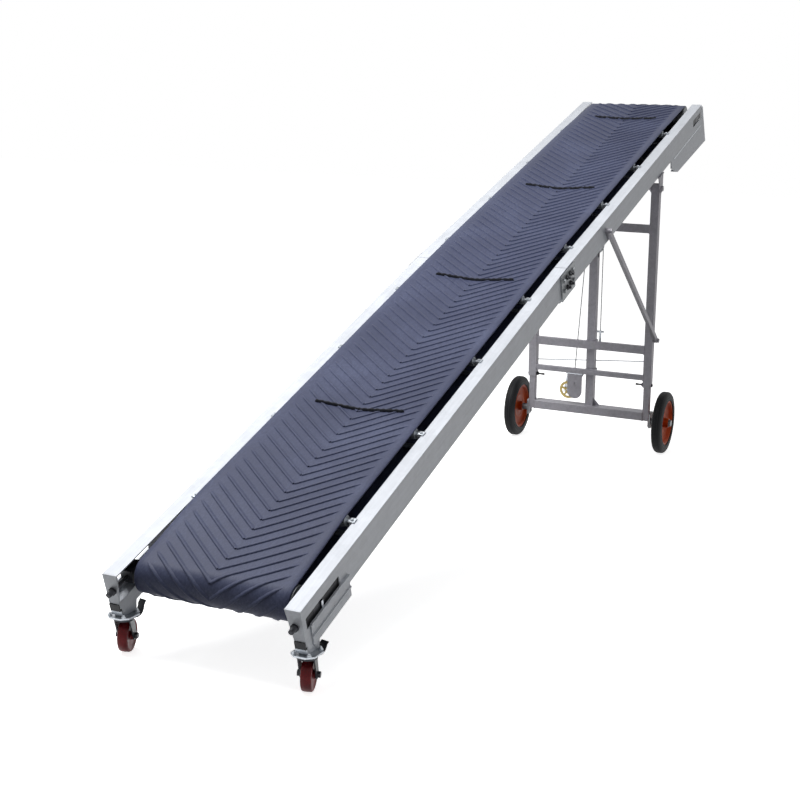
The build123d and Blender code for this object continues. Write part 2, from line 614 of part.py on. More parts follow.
hub_half = leg_in - BORE_PLAY
caster_wheel = rod(caster_axis(-CASTER_WIDTH / 2), caster_axis(CASTER_WIDTH / 2), CASTER_RADIUS)
caster_wheel = fillet(caster_wheel.edges(), CASTER_EDGE)
caster_wheel += rod(caster_axis(-hub_half), caster_axis(hub_half), CASTER_HUB)
caster_wheel -= rod(caster_axis(-leg_out), caster_axis(leg_out), CASTER_AXLE + BORE_PLAY)
turned("caster_wheel", caster_wheel)

# Pivot brackets under the rails, with the pins that hold the uprights
lug_in, lug_out = half - TUBE, half
pivot_up = -RAIL_DEPTH - PIVOT_DROP
pivot = on_deck(pivot_at, tube_mid, pivot_up)
axle_back = (BEAM[0] - TUBE) / 2           # wheel axle behind the middle of the uprights
tip = radians(LEAN)
rise = (pivot.Z - WHEEL_RADIUS + axle_back * sin(tip)) / cos(tip)
axle_mid = pivot.X + axle_back * cos(tip) + rise * sin(tip)
stand_x = axle_mid - axle_back
pivot_z = WHEEL_RADIUS + rise
leaned = Pos(axle_mid, 0, WHEEL_RADIUS) * Rotation(0, -LEAN, 0) * Pos(-axle_mid, 0, -WHEEL_RADIUS)
lug = make_hull(
    (Pos(pivot_at, pivot_up) * Circle(LUG_EYE)).edges()
    + (Pos(pivot_at, -RAIL_DEPTH - LUG_PLATE / 2) * Rectangle(LUG_LENGTH, LUG_PLATE)).edges())
pin_ends = (lug_in - LUG_PLATE, lug_out + LUG_PLATE)
bracket = slab((pivot_at - LUG_LENGTH / 2, pivot_at + LUG_LENGTH / 2), pin_ends, (-RAIL_DEPTH - LUG_PLATE, -RAIL_DEPTH))
for face in (pin_ends[0], lug_out):
    bracket += panel(lug, (face, face + LUG_PLATE))
bracket += rod((pivot_at, pin_ends[0], pivot_up), (pivot_at, pin_ends[1], pivot_up), PIVOT_PIN)
for end, out in ((pin_ends[0], -BOLT_HEAD), (pin_ends[1], BOLT_HEAD)):
    bracket += hexagon((pivot_at, end, pivot_up), (pivot_at, end + out, pivot_up), PIVOT_NUT)
both("pivot_brackets", head_run * bracket)

# Uprights: outer tubes with the strut's foot bolt, and lock handles on their inner faces
strut_in = half + STRUT_WASHER
strut_out = strut_in + STRUT_THICK
upright_top = pivot_z + UPRIGHT_OVER
tube_x = (stand_x - TUBE / 2, stand_x + TUBE / 2)


def stand(across, height):
    """Point in the plane of the uprights."""
    return (stand_x, across, height)


upright = tube(tube_x, (lug_in, lug_out), (UPRIGHT_FOOT, upright_top), TUBE_WALL, "z")
upright -= rod(stand(lug_in - 1, pivot_z), stand(lug_out + 1, pivot_z), PIVOT_PIN + BORE_PLAY)
upright += rod(stand(lug_out, STRUT_FOOT), stand(strut_in, STRUT_FOOT), 2 * STRUT_BOLT)
upright += rod(stand(strut_in, STRUT_FOOT), stand(strut_out, STRUT_FOOT), STRUT_BOLT)
upright += hexagon(stand(strut_out, STRUT_FOOT), stand(strut_out + BOLT_HEAD, STRUT_FOOT), BOLT + 2)
pair("upright", leaned * upright)
lock_z = UPRIGHT_FOOT + LOCK_UP
lock = rod(stand(lug_in, lock_z), stand(lug_in - LOCK_LENGTH, lock_z), 5)
lock += rod(stand(lug_in, lock_z), stand(lug_in - 8, lock_z), 9)
lock += rod(stand(lug_out, lock_z), stand(lug_out + 6, lock_z), 8)
both("lock_handles", leaned * lock)

# Struts from the rails' webs to the uprights
head_pin = on_deck(strut_at, strut_out, -STRUT_DROP)
foot_pin = (leaned * Pos(*stand(strut_out, STRUT_FOOT))).position
run = foot_pin - head_pin
bar = SlotCenterToCenter(run.length, STRUT_DEPTH)
for end in (-1, 1):
    bar -= Pos(end * run.length / 2, 0) * Circle(STRUT_BOLT + BORE_PLAY)
bar_plane = Plane(origin=head_pin + run / 2, x_dir=run, z_dir=(0, -1, 0))
both("struts", extrude(bar_plane * bar, STRUT_THICK, dir=(0, -1, 0)))
bolt = rod((strut_at, half, -STRUT_DROP), (strut_at, strut_in, -STRUT_DROP), 2 * STRUT_BOLT)
bolt += rod((strut_at, strut_in, -STRUT_DROP), (strut_at, strut_out, -STRUT_DROP), STRUT_BOLT)
bolt += hexagon((strut_at, strut_out, -STRUT_DROP), (strut_at, strut_out + BOLT_HEAD, -STRUT_DROP), BOLT + 2)
both("strut_bolts", head_run * bolt)

# Bars flush with the uprights' front; the lower two hold straps that slide on the mast behind them
bar_front = stand_x - TUBE / 2
bar_back = bar_front + BAR_DEPTH
mast_half = TUBE / 2
mast_x = bar_back + SLIDE_PLAY + mast_half
strap_in = mast_half + SLIDE_PLAY
strap_side = strap_in + STRAP


def cross_bar(foot_z, height, strap):
    """Bar between the uprights, with or without a strap round the mast."""
    zs = (foot_z, foot_z + height)
    made = tube((bar_front, bar_back), (-lug_in, lug_in), zs, BAR_WALL, "y")
    if strap:
        made += slab((bar_back, mast_x + strap_side), (-strap_side, strap_side), zs)
        made -= slab((bar_back, mast_x + strap_in), (-strap_in, strap_in), zs)
    return made


top_bar_z = pivot_z - TOP_BAR[0]
nodes["top_bar"] = leaned * cross_bar(top_bar_z, TOP_BAR[1], False)
nodes["mid_bar"] = leaned * cross_bar(*MID_BAR, True)
nodes["low_bar"] = leaned * cross_bar(*LOW_BAR, True)
wire_x = mast_x + mast_half + WIRE_BACK
wire_ends = ((wire_x, tube_mid, LOCK_WIRE[0]), (wire_x, -tube_mid, LOCK_WIRE[1]))
wire = rod(*wire_ends, LOCK_WIRE[2])
for x, y, z in wire_ends:
    wire += rod((stand_x + TUBE / 2, y, z), (wire_x + 2 * LOCK_WIRE[2], y, z), 2 * LOCK_WIRE[2])
nodes["lock_wire"] = leaned * wire

# Legs, and the axle beam between them with a plate and a stub axle outside each leg
leg_half = TUBE / 2 - TUBE_WALL - SLIDE_PLAY
leg_face = tube_mid - leg_half
leg_back = tube_mid + leg_half
beam_low = BEAM_TOP - BEAM[1]
beam_x = (bar_front, bar_front + BEAM[0])
both("legs", leaned * tube((stand_x - leg_half, stand_x + leg_half), (leg_face, leg_back),
                           (beam_low, UPRIGHT_FOOT + LEG_REACH), LEG_WALL, "z"))
beam = tube(beam_x, (-leg_face, leg_face), (beam_low, BEAM_TOP), TUBE_WALL, "y")
nodes["axle_beam"] = leaned * beam
plate_out = leg_back + AXLE_PLATE[1]
hub_in = plate_out + AXLE_COLLAR[1]
wheel_mid = hub_in + RUN_GAP + HUB_LENGTH / 2
hub_out = wheel_mid + HUB_LENGTH / 2 + RUN_GAP


def wheel_axis(across):
    """Point on the main wheels' axis."""
    return (axle_mid, across, WHEEL_RADIUS)


stub = slab((axle_mid - AXLE_PLATE[0] / 2, axle_mid + AXLE_PLATE[0] / 2), (leg_back, plate_out),
            (WHEEL_RADIUS - AXLE_PLATE[2], BEAM_TOP))
stub = fillet(stub.edges().filter_by(Axis.Y), AXLE_PLATE[1])
stub += rod(wheel_axis(plate_out), wheel_axis(hub_in), AXLE_COLLAR[0])
stub += rod(wheel_axis(hub_in), wheel_axis(hub_out), AXLE)
stub += hexagon(wheel_axis(hub_out), wheel_axis(hub_out + AXLE_NUT), 2 * AXLE_COLLAR[0] - 2)
both("stub_axles", leaned * stub)

# Mast: its front and back walls run up as a fork for the sheave
mast_top = top_bar_z - MAST_UNDER
sheave_z = mast_top - SHEAVE_DROP
mast_xs = (mast_x - mast_half, mast_x + mast_half)
mast = tube(mast_xs, (-mast_half, mast_half), (BEAM_TOP, mast_top), MAST_WALL, "z")
mast -= slab((mast_xs[0] + MAST_WALL, mast_xs[1] - MAST_WALL), (-TUBE, TUBE), (mast_top - MAST_FORK, mast_top + 1))
mast += extrude(Pos(mast_x - GUSSET[2] / 2, 0, 0) * (Plane.YZ * Polygon(
    (-mast_half, BEAM_TOP), (-mast_half - GUSSET[0], BEAM_TOP), (-mast_half, BEAM_TOP + GUSSET[1]),
    align=None)), GUSSET[2], dir=forward)
mast += rod((mast_xs[0] - 3, 0, sheave_z), (mast_xs[1] + 3, 0, sheave_z), SHEAVE_PIN)
for end, inward in ((mast_xs[0] + MAST_WALL, 1), (mast_xs[1] - MAST_WALL, -1)):
    washer = mast_half - MAST_WALL - SHEAVE_WIDTH / 2 - RUN_GAP
    mast += rod((end, 0, sheave_z), (end + inward * washer, 0, sheave_z), SHEAVE_PIN + 4)
nodes["mast"] = leaned * mast
groove = 2 * ROPE + 1
sheave_side = SHEAVE_WIDTH / 2
profile = Polygon(
    (SHEAVE_PIN + BORE_PLAY, -sheave_side), (SHEAVE_RADIUS, -sheave_side), (SHEAVE_RADIUS, -groove / 2),
    (SHEAVE_RADIUS - groove, -groove / 2), (SHEAVE_RADIUS - groove, groove / 2), (SHEAVE_RADIUS, groove / 2),
    (SHEAVE_RADIUS, sheave_side), (SHEAVE_PIN + BORE_PLAY, sheave_side), align=None)
nodes["mast_sheave"] = leaned * Pos(mast_x, 0, sheave_z) * (Rotation(0, 90, 0) * revolve(Plane.XZ * profile, Axis.Z))

# Rope: over the sheave, down to the winch and down to the anchor screw on the middle bar
rope_radius = SHEAVE_RADIUS - groove + ROPE + BORE_PLAY
nodes["rope_bend"] = leaned * Pos(mast_x, 0, sheave_z) * revolve(Pos(0, rope_radius, 0) * Circle(ROPE), Axis.X, 180)
rope_top = sheave_z - 2 * RUN_GAP
mid_top = sum(MID_BAR)
anchor_z = mid_top + ANCHOR_UP
tab_z = mid_top - MID_BAR[1] / 2
anchor = slab((bar_back, mast_x + 2 * ANCHOR_STEM), (-rope_radius - 2 * ANCHOR_STEM, -rope_radius + 2 * ANCHOR_STEM),
              (tab_z, tab_z + STRAP))
anchor += rod((mast_x, -rope_radius, MID_BAR[0] - 2 * ANCHOR_STEM), (mast_x, -rope_radius, anchor_z), ANCHOR_STEM)
wing_z = anchor_z - ANCHOR_STEM
anchor += rod((mast_x, -rope_radius - ANCHOR_WING, wing_z), (mast_x, -rope_radius + ANCHOR_WING, wing_z), ANCHOR_STEM)
nodes["rope_anchor"] = leaned * anchor
nodes["rope_anchor_leg"] = leaned * rod((mast_x, -rope_radius, anchor_z), (mast_x, -rope_radius, rope_top), ROPE)

# Winch: two plates and a top flange under the lower bar, drum and gear between, and a rounded cover
drum_y = WINCH_AT[0]
drum_z = LOW_BAR[0] - WINCH_AT[1]
flange_z = LOW_BAR[0] - WINCH_PLATE
drum_x = (mast_x - 3 * ROPE, mast_x + 3 * ROPE)
plate_xs = (drum_x[0] - RUN_GAP - WINCH_PLATE, drum_x[1] + RUN_GAP)
gear_x = plate_xs[0] - RUN_GAP - WINCH_GEAR[1]
winch_front = bar_front
ear_face = make_hull(
    (Pos(drum_y, drum_z) * Circle(WINCH_EAR)).edges()
    + (Pos(sum(WINCH_TOP) / 2, LOW_BAR[0] - WINCH_PLATE / 2) * Rectangle(WINCH_TOP[1] - WINCH_TOP[0], WINCH_PLATE)).edges())
ear_face -= Pos(drum_y, drum_z) * Circle(WINCH_SHAFT + BORE_PLAY)
frame = slab((winch_front, plate_xs[1] + WINCH_PLATE), WINCH_TOP, (flange_z, LOW_BAR[0]))
for face in plate_xs:
    frame += extrude(Pos(face, 0, 0) * (Plane.YZ * ear_face), WINCH_PLATE, dir=forward)
rope_foot = drum_y - WINCH_DRUM - ROPE - RUN_GAP
rope_slant = (rope_foot - rope_radius) / (rope_top - drum_z)
rope_y = rope_foot - rope_slant * (flange_z - drum_z)
frame -= slab(drum_x, (rope_y - 4 * ROPE, rope_y + 4 * ROPE), (flange_z - 1, LOW_BAR[0] + 1))
nodes["winch_frame"] = leaned * frame
cover_mid = sum(WINCH_TOP) / 2 - WINCH_PLATE
cover_face = make_hull(
    (Pos(cover_mid, LOW_BAR[0] - COVER_DROP) * Circle(COVER_ROUND)).edges()
    + (Pos(cover_mid, flange_z - WINCH_PLATE / 2) * Rectangle(2 * COVER_ROUND, WINCH_PLATE)).edges())
cover = extrude(Pos(winch_front, 0, 0) * (Plane.YZ * cover_face), WINCH_PLATE, dir=forward)
crank_y, crank_z = CRANK_AT[0], LOW_BAR[0] - CRANK_AT[1]
cover += hexagon((winch_front, crank_y, crank_z), (winch_front - BOLT_HEAD, crank_y, crank_z), 2 * CRANK)
cover += rod((winch_front + WINCH_PLATE, crank_y, crank_z), (gear_x - RUN_GAP, crank_y, crank_z), 2 * CRANK)
nodes["winch_cover"] = leaned * cover
reel = rod((drum_x[0], drum_y, drum_z), (drum_x[1], drum_y, drum_z), WINCH_DRUM)
reel += rod((gear_x, drum_y, drum_z), (plate_xs[1] + WINCH_PLATE + STRAP, drum_y, drum_z), WINCH_SHAFT)
reel += rod((gear_x, drum_y, drum_z), (gear_x + WINCH_GEAR[1], drum_y, drum_z), WINCH_GEAR[0])
nodes["winch_drum"] = leaned * reel
nodes["rope_winch_leg"] = leaned * rod((mast_x, rope_foot, drum_z), (mast_x, rope_radius, rope_top), ROPE)

# Main wheels: solid tyre on a dished disc with a plain hub
tread, shoulder = TYRE_WIDTH / 2, TYRE_WIDTH / 8
tyre_profile = Polygon(
    (RIM_RADIUS, -tread), (WHEEL_RADIUS - 2 * shoulder, -tread), (WHEEL_RADIUS - shoulder / 2, -tread + shoulder),
    (WHEEL_RADIUS, -tread + 2 * shoulder), (WHEEL_RADIUS, tread - 2 * shoulder),
    (WHEEL_RADIUS - shoulder / 2, tread - shoulder), (WHEEL_RADIUS - 2 * shoulder, tread), (RIM_RADIUS, tread),
    align=None)
rim = RIM_RADIUS - RUN_GAP
lip = TYRE_WIDTH * 0.4
hub = HUB_LENGTH / 2
disc_profile = Polygon(
    (AXLE + BORE_PLAY, -hub), (HUB_RADIUS, -hub), (HUB_RADIUS, -lip / 2), (rim - lip, -lip / 4),
    (rim - lip / 2, -lip), (rim, -lip), (rim, lip), (rim - lip / 2, lip), (rim - lip, lip / 8), (HUB_RADIUS, -lip / 8),
    (HUB_RADIUS, hub), (AXLE + BORE_PLAY, hub), align=None)
wheel_at = Pos(*wheel_axis(wheel_mid))
pair("wheel_tyre", wheel_at * revolve(tyre_profile, Axis.Y))
pair("wheel_disc", wheel_at * revolve(disc_profile, Axis.Y))

# The origin is the middle of the whole, at floor level
whole = Compound(list(nodes.values())).bounding_box()
SHIFT = Vector(-(whole.min.X + whole.max.X) / 2, -(whole.min.Y + whole.max.Y) / 2, -whole.min.Z)
for name, shape in nodes.items():
    nodes[name] = Pos(SHIFT) * shape
    export_step(nodes[name], f"parts/{name}.step")
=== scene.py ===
import bpy
import bmesh
import json
from bisect import bisect_right
from math import sin, cos, tan, pi, radians, atan2, asin, hypot, sqrt
from mathutils import Vector, Matrix


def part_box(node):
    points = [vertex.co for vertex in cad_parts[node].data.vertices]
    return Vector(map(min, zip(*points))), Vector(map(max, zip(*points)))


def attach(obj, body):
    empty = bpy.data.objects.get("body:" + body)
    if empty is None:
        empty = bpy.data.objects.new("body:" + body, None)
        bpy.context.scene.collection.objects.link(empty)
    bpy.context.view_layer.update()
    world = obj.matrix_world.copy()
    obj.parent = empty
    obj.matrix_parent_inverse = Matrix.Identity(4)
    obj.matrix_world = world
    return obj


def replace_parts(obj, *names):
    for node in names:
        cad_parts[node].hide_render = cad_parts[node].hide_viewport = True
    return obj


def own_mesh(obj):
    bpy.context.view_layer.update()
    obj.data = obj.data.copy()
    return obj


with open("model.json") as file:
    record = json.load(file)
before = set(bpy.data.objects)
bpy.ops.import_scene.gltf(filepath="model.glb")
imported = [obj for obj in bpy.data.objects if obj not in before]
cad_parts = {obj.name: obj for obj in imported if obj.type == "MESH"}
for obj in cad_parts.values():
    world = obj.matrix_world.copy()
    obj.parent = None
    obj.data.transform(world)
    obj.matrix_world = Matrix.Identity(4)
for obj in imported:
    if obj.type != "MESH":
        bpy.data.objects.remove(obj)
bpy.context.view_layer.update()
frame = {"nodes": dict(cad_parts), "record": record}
nodes = frame["nodes"]
bodyOf = {node: body for body, names in frame["record"]["behaviour"]["bodies"].items() for node in names}
slotOf = {part["node"]: part["material_slot"] for part in frame["record"]["subparts"]}
mm = 0.001
sides = {"left": 1, "right": -1}
print("frame loaded:", len(nodes), "nodes")

# the sloping deck: s runs up the rails, y across, n square to the rails; past the splice it is a little flatter
deck = {"incline": radians(19.645), "bend": radians(1.5), "splice": 2262 * mm,
        "halfWidth": 320 * mm, "depth": 100 * mm}
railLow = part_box("rail_lower_left")[0]
deckRun = Vector((cos(deck["incline"]), 0, sin(deck["incline"])))
deckUp = Vector((-sin(deck["incline"]), 0, cos(deck["incline"])))
deckZero = Vector((railLow.x, 0, railLow.z + deck["depth"] * cos(deck["incline"])))


def flat(s, n):  # a place on either run, measured on the tail run
    if s < deck["splice"]:
        return s, n
    ds, dn = s - deck["splice"], n + deck["depth"]
    turn = deck["bend"]
    return deck["splice"] + ds * cos(turn) + dn * sin(turn), dn * cos(turn) - ds * sin(turn) - deck["depth"]


def onTail(s, y, n):
    return deckZero + deckRun * s + deckUp * n + Vector((0, y, 0))


def onDeck(s, y, n):
    s, n = flat(s, n)
    return onTail(s, y, n)


def middle(node):
    low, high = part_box(node)
    return (low + high) / 2


# the stand: x behind the uprights' middle, y across, z as on the upright drawing, then leaned about the axle
stand = {"lean": radians(5.5), "wheel": 154 * mm, "axleBack": 10 * mm}
axle = middle("wheel_tyre_left")
standRun = Vector((cos(stand["lean"]), 0, sin(stand["lean"])))
standUp = Vector((-sin(stand["lean"]), 0, cos(stand["lean"])))


def onStand(x, y, z):
    foot = Vector((axle.x, y, axle.z))
    return foot + standRun * (x - stand["axleBack"]) + standUp * (z - stand["wheel"])


# materials
def hexColour(code):
    parts = [int(code[i:i + 2], 16) / 255 for i in (1, 3, 5)]
    return [c / 12.92 if c <= 0.04045 else ((c + 0.055) / 1.055) ** 2.4 for c in parts] + [1.0]


def addNode(tree, kind, settings, links):
    node = tree.nodes.new(kind)
    for key, value in settings.items():
        if key == "stops":
            band = node.color_ramp.elements
            for place, colour in value[1:-1]:
                band.new(place)
            for element, (place, colour) in zip(band, value):
                element.position = place
                element.color = hexColour(colour)
        elif isinstance(key, str) and hasattr(node, key):
            setattr(node, key, value)
        else:
            node.inputs[key].default_value = value
    for key, source in links.items():
        tree.links.new(source, node.inputs[key])
    return node


def newMaterial(name, shine):
    made = bpy.data.materials.new(name)
    made.use_nodes = True
    shader = made.node_tree.nodes["Principled BSDF"]
    for key, value in shine.items():
        shader.inputs[key].default_value = value
    return made, made.node_tree, shader


toneStops = (0.3, 0.5, 0.7)  # where the dark, middle and pale tones sit in the pattern
crystalShare = 0.1


def surface(name, shine, colours, grain, rough, bump, patch, stretch=(1, 1, 1), turn=(0, 0, 0), cells=0.0):
    # shared build: fine grain and slow patches drive colour, gloss and relief; cells add the crystals of a zinc bath
    made, tree, shader = newMaterial(name, shine)
    place = addNode(tree, "ShaderNodeTexCoord", {}, {}).outputs["Object"]
    level = addNode(tree, "ShaderNodeMapping", {"Rotation": turn}, {"Vector": place}).outputs["Vector"]
    drawn = addNode(tree, "ShaderNodeMapping", {"Scale": stretch}, {"Vector": level}).outputs["Vector"]
    fineGrain = {"Scale": 1 / grain, "Detail": 5.0, "Roughness": 0.6}
    fine = addNode(tree, "ShaderNodeTexNoise", fineGrain, {"Vector": drawn}).outputs["Fac"]
    slowPatch = {"Scale": 1 / patch, "Detail": 3.0}
    slow = addNode(tree, "ShaderNodeTexNoise", slowPatch, {"Vector": level}).outputs["Fac"]
    tone = addNode(tree, "ShaderNodeMix", {"Factor": 0.5}, {2: fine, 3: slow}).outputs[0]
    if cells:
        crystal = addNode(tree, "ShaderNodeTexVoronoi", {"Scale": 1 / cells}, {"Vector": level}).outputs["Color"]
        shade = addNode(tree, "ShaderNodeSeparateColor", {}, {"Color": crystal}).outputs[0]
        tone = addNode(tree, "ShaderNodeMix", {"Factor": crystalShare}, {2: tone, 3: shade}).outputs[0]
    tint = addNode(tree, "ShaderNodeValToRGB", {"stops": list(zip(toneStops, colours))}, {"Fac": tone})
    tree.links.new(tint.outputs["Color"], shader.inputs["Base Color"])
    glossRange = {"From Min": toneStops[0], "From Max": toneStops[2], "To Min": rough[0], "To Max": rough[1]}
    gloss = addNode(tree, "ShaderNodeMapRange", glossRange, {"Value": tone})
    tree.links.new(gloss.outputs["Result"], shader.inputs["Roughness"])
    relief = addNode(tree, "ShaderNodeBump", {"Strength": bump[0], "Distance": bump[1]}, {"Height": fine})
    tree.links.new(relief.outputs["Normal"], shader.inputs["Normal"])
    return made


alongRail = (0, deck["incline"], 0)  # turns the pattern into the deck's own axes
looks = {
    # folded galvanised sheet: pale and satin, drawn lightly by the mill; its oxide skin hides most of the shine
    "galvanised_rail": surface("galvanisedFoldedSheet", {"Metallic": 0.12}, ("#b8bcc3", "#c5c9d0", "#d1d5dc"),
                               9 * mm, (0.4, 0.52), (0.12, 0.4 * mm), 160 * mm, (0.06, 1, 1), alongRail, 22 * mm),
    # hot-dip galvanised tube: warm mid grey under the same dull skin, with faint crystal patches
    "galvanised_tube": surface("galvanisedTube", {"Metallic": 0.12}, ("#96949c", "#a7a5ad", "#b7b5bd"),
                               12 * mm, (0.38, 0.55), (0.15, 0.4 * mm), 120 * mm, cells=14 * mm),
    # bright zinc plate: cool, shiny, a little uneven
    "zinc_steel": surface("zincPlatedSteel", {"Metallic": 0.8}, ("#979ca2", "#adb2b8", "#c3c8cd"),
                          5 * mm, (0.25, 0.42), (0.1, 0.2 * mm), 40 * mm),
    # turned steel: darker, with fine rings round a drum's axis
    "drum_steel": surface("turnedSteel", {"Metallic": 0.9}, ("#5e6063", "#74777a", "#8a8d90"),
                          4 * mm, (0.3, 0.5), (0.15, 0.2 * mm), 60 * mm, (1, 6, 1)),
    # moulded belt rubber: dark blue-grey, half matt, with dusty patches along the run
    "belt_rubber": surface("mouldedBeltRubber", {"Specular IOR Level": 0.16}, ("#343950", "#3f445c", "#50566f"),
                           7 * mm, (0.4, 0.56), (0.12, 0.5 * mm), 260 * mm, (0.5, 1, 1), alongRail),
    # cured tyre rubber: near black, matt, slightly dusty
    "tyre_rubber": surface("curedTyreRubber", {"Specular IOR Level": 0.2}, ("#0e0f10", "#161719", "#222326"),
                           4 * mm, (0.5, 0.7), (0.2, 0.3 * mm), 50 * mm),
    # baked enamel on pressed steel: orange red, half gloss, faint orange peel
    "disc_paint": surface("bakedEnamel", {"Specular IOR Level": 0.2}, ("#b23e08", "#c84c0f", "#d85c1c"),
                          3 * mm, (0.4, 0.52), (0.06, 0.2 * mm), 60 * mm),
    # cast polyurethane: deep red, smooth, waxy
    "caster_red": surface("castPolyurethane", {"Specular IOR Level": 0.25}, ("#5a0d12", "#741218", "#8c1a20"),
                          3 * mm, (0.35, 0.5), (0.08, 0.2 * mm), 30 * mm),
    # moulded nylon: black with a fine spark texture
    "black_plastic": surface("mouldedNylon", {"Specular IOR Level": 0.25}, ("#101114", "#17181c", "#212227"),
                             1.5 * mm, (0.4, 0.55), (0.2, 0.1 * mm), 20 * mm),
    # yellow passivated zinc: brassy with faint patches
    "yellow_zinc": surface("yellowPassivatedZinc", {"Metallic": 0.85}, ("#7a6a3c", "#94834f", "#b09f6d"),
                           6 * mm, (0.25, 0.4), (0.08, 0.2 * mm), 25 * mm),
    # drawn wire: dull steel, slightly greasy
    "wire_rope": surface("drawnSteelWire", {"Metallic": 0.8}, ("#5c5e60", "#7b7d80", "#98999c"),
                         1.5 * mm, (0.3, 0.45), (0.1, 0.1 * mm), 20 * mm),
}
# vulcanised cleat rubber: harder than the belt and matt; written near black, far darker than the belt, as painted
# shade for the cleat's face turned from the light
cleatLookWithShade = surface("cleatRubberPaintedShade", {"Specular IOR Level": 0.15}, ("#0d0f15", "#13151d", "#1d2029"),
                    5 * mm, (0.5, 0.7), (0.2, 0.4 * mm), 60 * mm, turn=alongRail)
# black oxide steel: dark, half shiny fasteners; on the caster fork sides this dark colour is painted shade over the
# forks' zinc
darkSteelAndShade = surface("blackOxideSteelAndShade", {"Metallic": 0.6}, ("#1a1b1f", "#26272c", "#36373d"),
                     3 * mm, (0.35, 0.5), (0.1, 0.2 * mm), 20 * mm)
print("materials:", len(looks) + 2)


# mesh helpers
def finishMesh(name, work, slot, body, sharp=40, look=None):
    bmesh.ops.recalc_face_normals(work, faces=work.faces)
    for face in work.faces:
        face.smooth = True
    for edge in work.edges:
        if len(edge.link_faces) == 2 and edge.calc_face_angle() > radians(sharp):
            edge.smooth = False
    mesh = bpy.data.meshes.new(name)
    work.to_mesh(mesh)
    work.free()
    mesh.materials.append(look or looks[slot])
    piece = bpy.data.objects.new(name, mesh)
    bpy.context.scene.collection.objects.link(piece)
    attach(piece, body)
    return piece


def bridge(work, rings, closed=True, caps=True):
    made = [[work.verts.new(point) for point in ring] for ring in rings]
    count = len(made[0])
    for first, second in zip(made, made[1:]):
        for i in range(count if closed else count - 1):
            j = (i + 1) % count
            work.faces.new((first[i], first[j], second[j], second[i]))
    if caps:
        work.faces.new(list(reversed(made[0])))
        work.faces.new(made[-1])
    return made


def axisFrame(axis):
    axis = Vector(axis).normalized()
    side = axis.cross(Vector((0, 0, 1)) if abs(axis.z) < 0.9 else Vector((1, 0, 0))).normalized()
    return axis, side, axis.cross(side)


leastRadius = 0.05 * mm  # a lathe's middle stays open by this much, so that no face folds


def turned(work, at, axis, profile, count=48, ringed=False):
    # a lathe: profile rows are (along the axis, radius) in mm; a ringed profile closes on itself, as a tyre's does
    axis, side, other = axisFrame(axis)
    spokes = [side * cos(2 * pi * i / count) + other * sin(2 * pi * i / count) for i in range(count)]
    rings = []
    for along, radius in profile:
        spot, reach = Vector(at) + axis * (along * mm), max(radius * mm, leastRadius)
        rings.append([spot + spoke * reach for spoke in spokes])
    made = bridge(work, rings, caps=not ringed)
    if ringed:
        for i in range(count):
            j = (i + 1) % count
            work.faces.new((made[-1][i], made[-1][j], made[0][j], made[0][i]))


def sweep(work, path, ring):
    # carries a ring of (across, up) offsets along a path; the ring may change with the index
    carry = None
    rings = []
    for i, point in enumerate(path):
        run = (path[min(i + 1, len(path) - 1)] - path[max(i - 1, 0)]).normalized()
        carry = axisFrame(run)[1] if carry is None else (carry - run * carry.dot(run)).normalized()
        up = run.cross(carry)
        rings.append([point + carry * a + up * b for a, b in ring(i)])
    bridge(work, rings)


def steps(start, end, step):
    count = max(2, round((Vector(end) - Vector(start)).length / step))
    return [Vector(start).lerp(Vector(end), i / count) for i in range(count)]


ease = {"join": 0.005 * mm, "flat": radians(0.5), "edge": 40, "segments": 2}


def soften(node, width, look=None):
    # the same solid with its edges eased, as folded, sawn or cast edges are
    work = bmesh.new()
    work.from_mesh(nodes[node].data)
    bmesh.ops.remove_doubles(work, verts=work.verts, dist=ease["join"])
    bmesh.ops.dissolve_limit(work, angle_limit=ease["flat"], verts=work.verts, edges=work.edges)
    piece = finishMesh(node + "_eased", work, slotOf[node], bodyOf[node], ease["edge"], look)
    bevel = piece.modifiers.new("easedEdges", "BEVEL")
    bevel.width = width
    bevel.segments = ease["segments"]
    bevel.limit_method = "ANGLE"
    bevel.angle_limit = radians(ease["edge"])
    bevel.harden_normals = True
    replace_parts(piece, node)
    return piece


# a bolt's shares of its thread size: washer radius and thickness, head rows of (along, reach), and the stud's point
bolt = {"washer": (1.1, 0.2), "head": ((0, 0.95), (0.48, 0.95), (0.62, 0.8)), "point": 0.4}


def hexBolt(work, at, axis, size, stud=0.0):
    # washer, chamfered head and, on a nut, the stud's end; size is the thread in mm
    axis, side, other = axisFrame(axis)
    reach, thick = [share * size for share in bolt["washer"]]
    turned(work, at, axis, [(0, 0), (0, reach), (thick, reach), (thick, 0)], 20)
    base = Vector(at) + axis * (thick * mm)
    corners = [side * cos(pi * i / 3) + other * sin(pi * i / 3) for i in range(6)]
    rings = []
    for along, reach in bolt["head"]:
        rings.append([base + axis * (along * size * mm) + corner * (reach * size * mm) for corner in corners])
    bridge(work, rings)
    if stud:
        tip = bolt["head"][-1][0] * size + stud
        rows = [(0, 0), (0, size / 2), (tip - 1, size / 2), (tip, bolt["point"] * size), (tip, 0)]
        turned(work, base, axis, rows, 16)


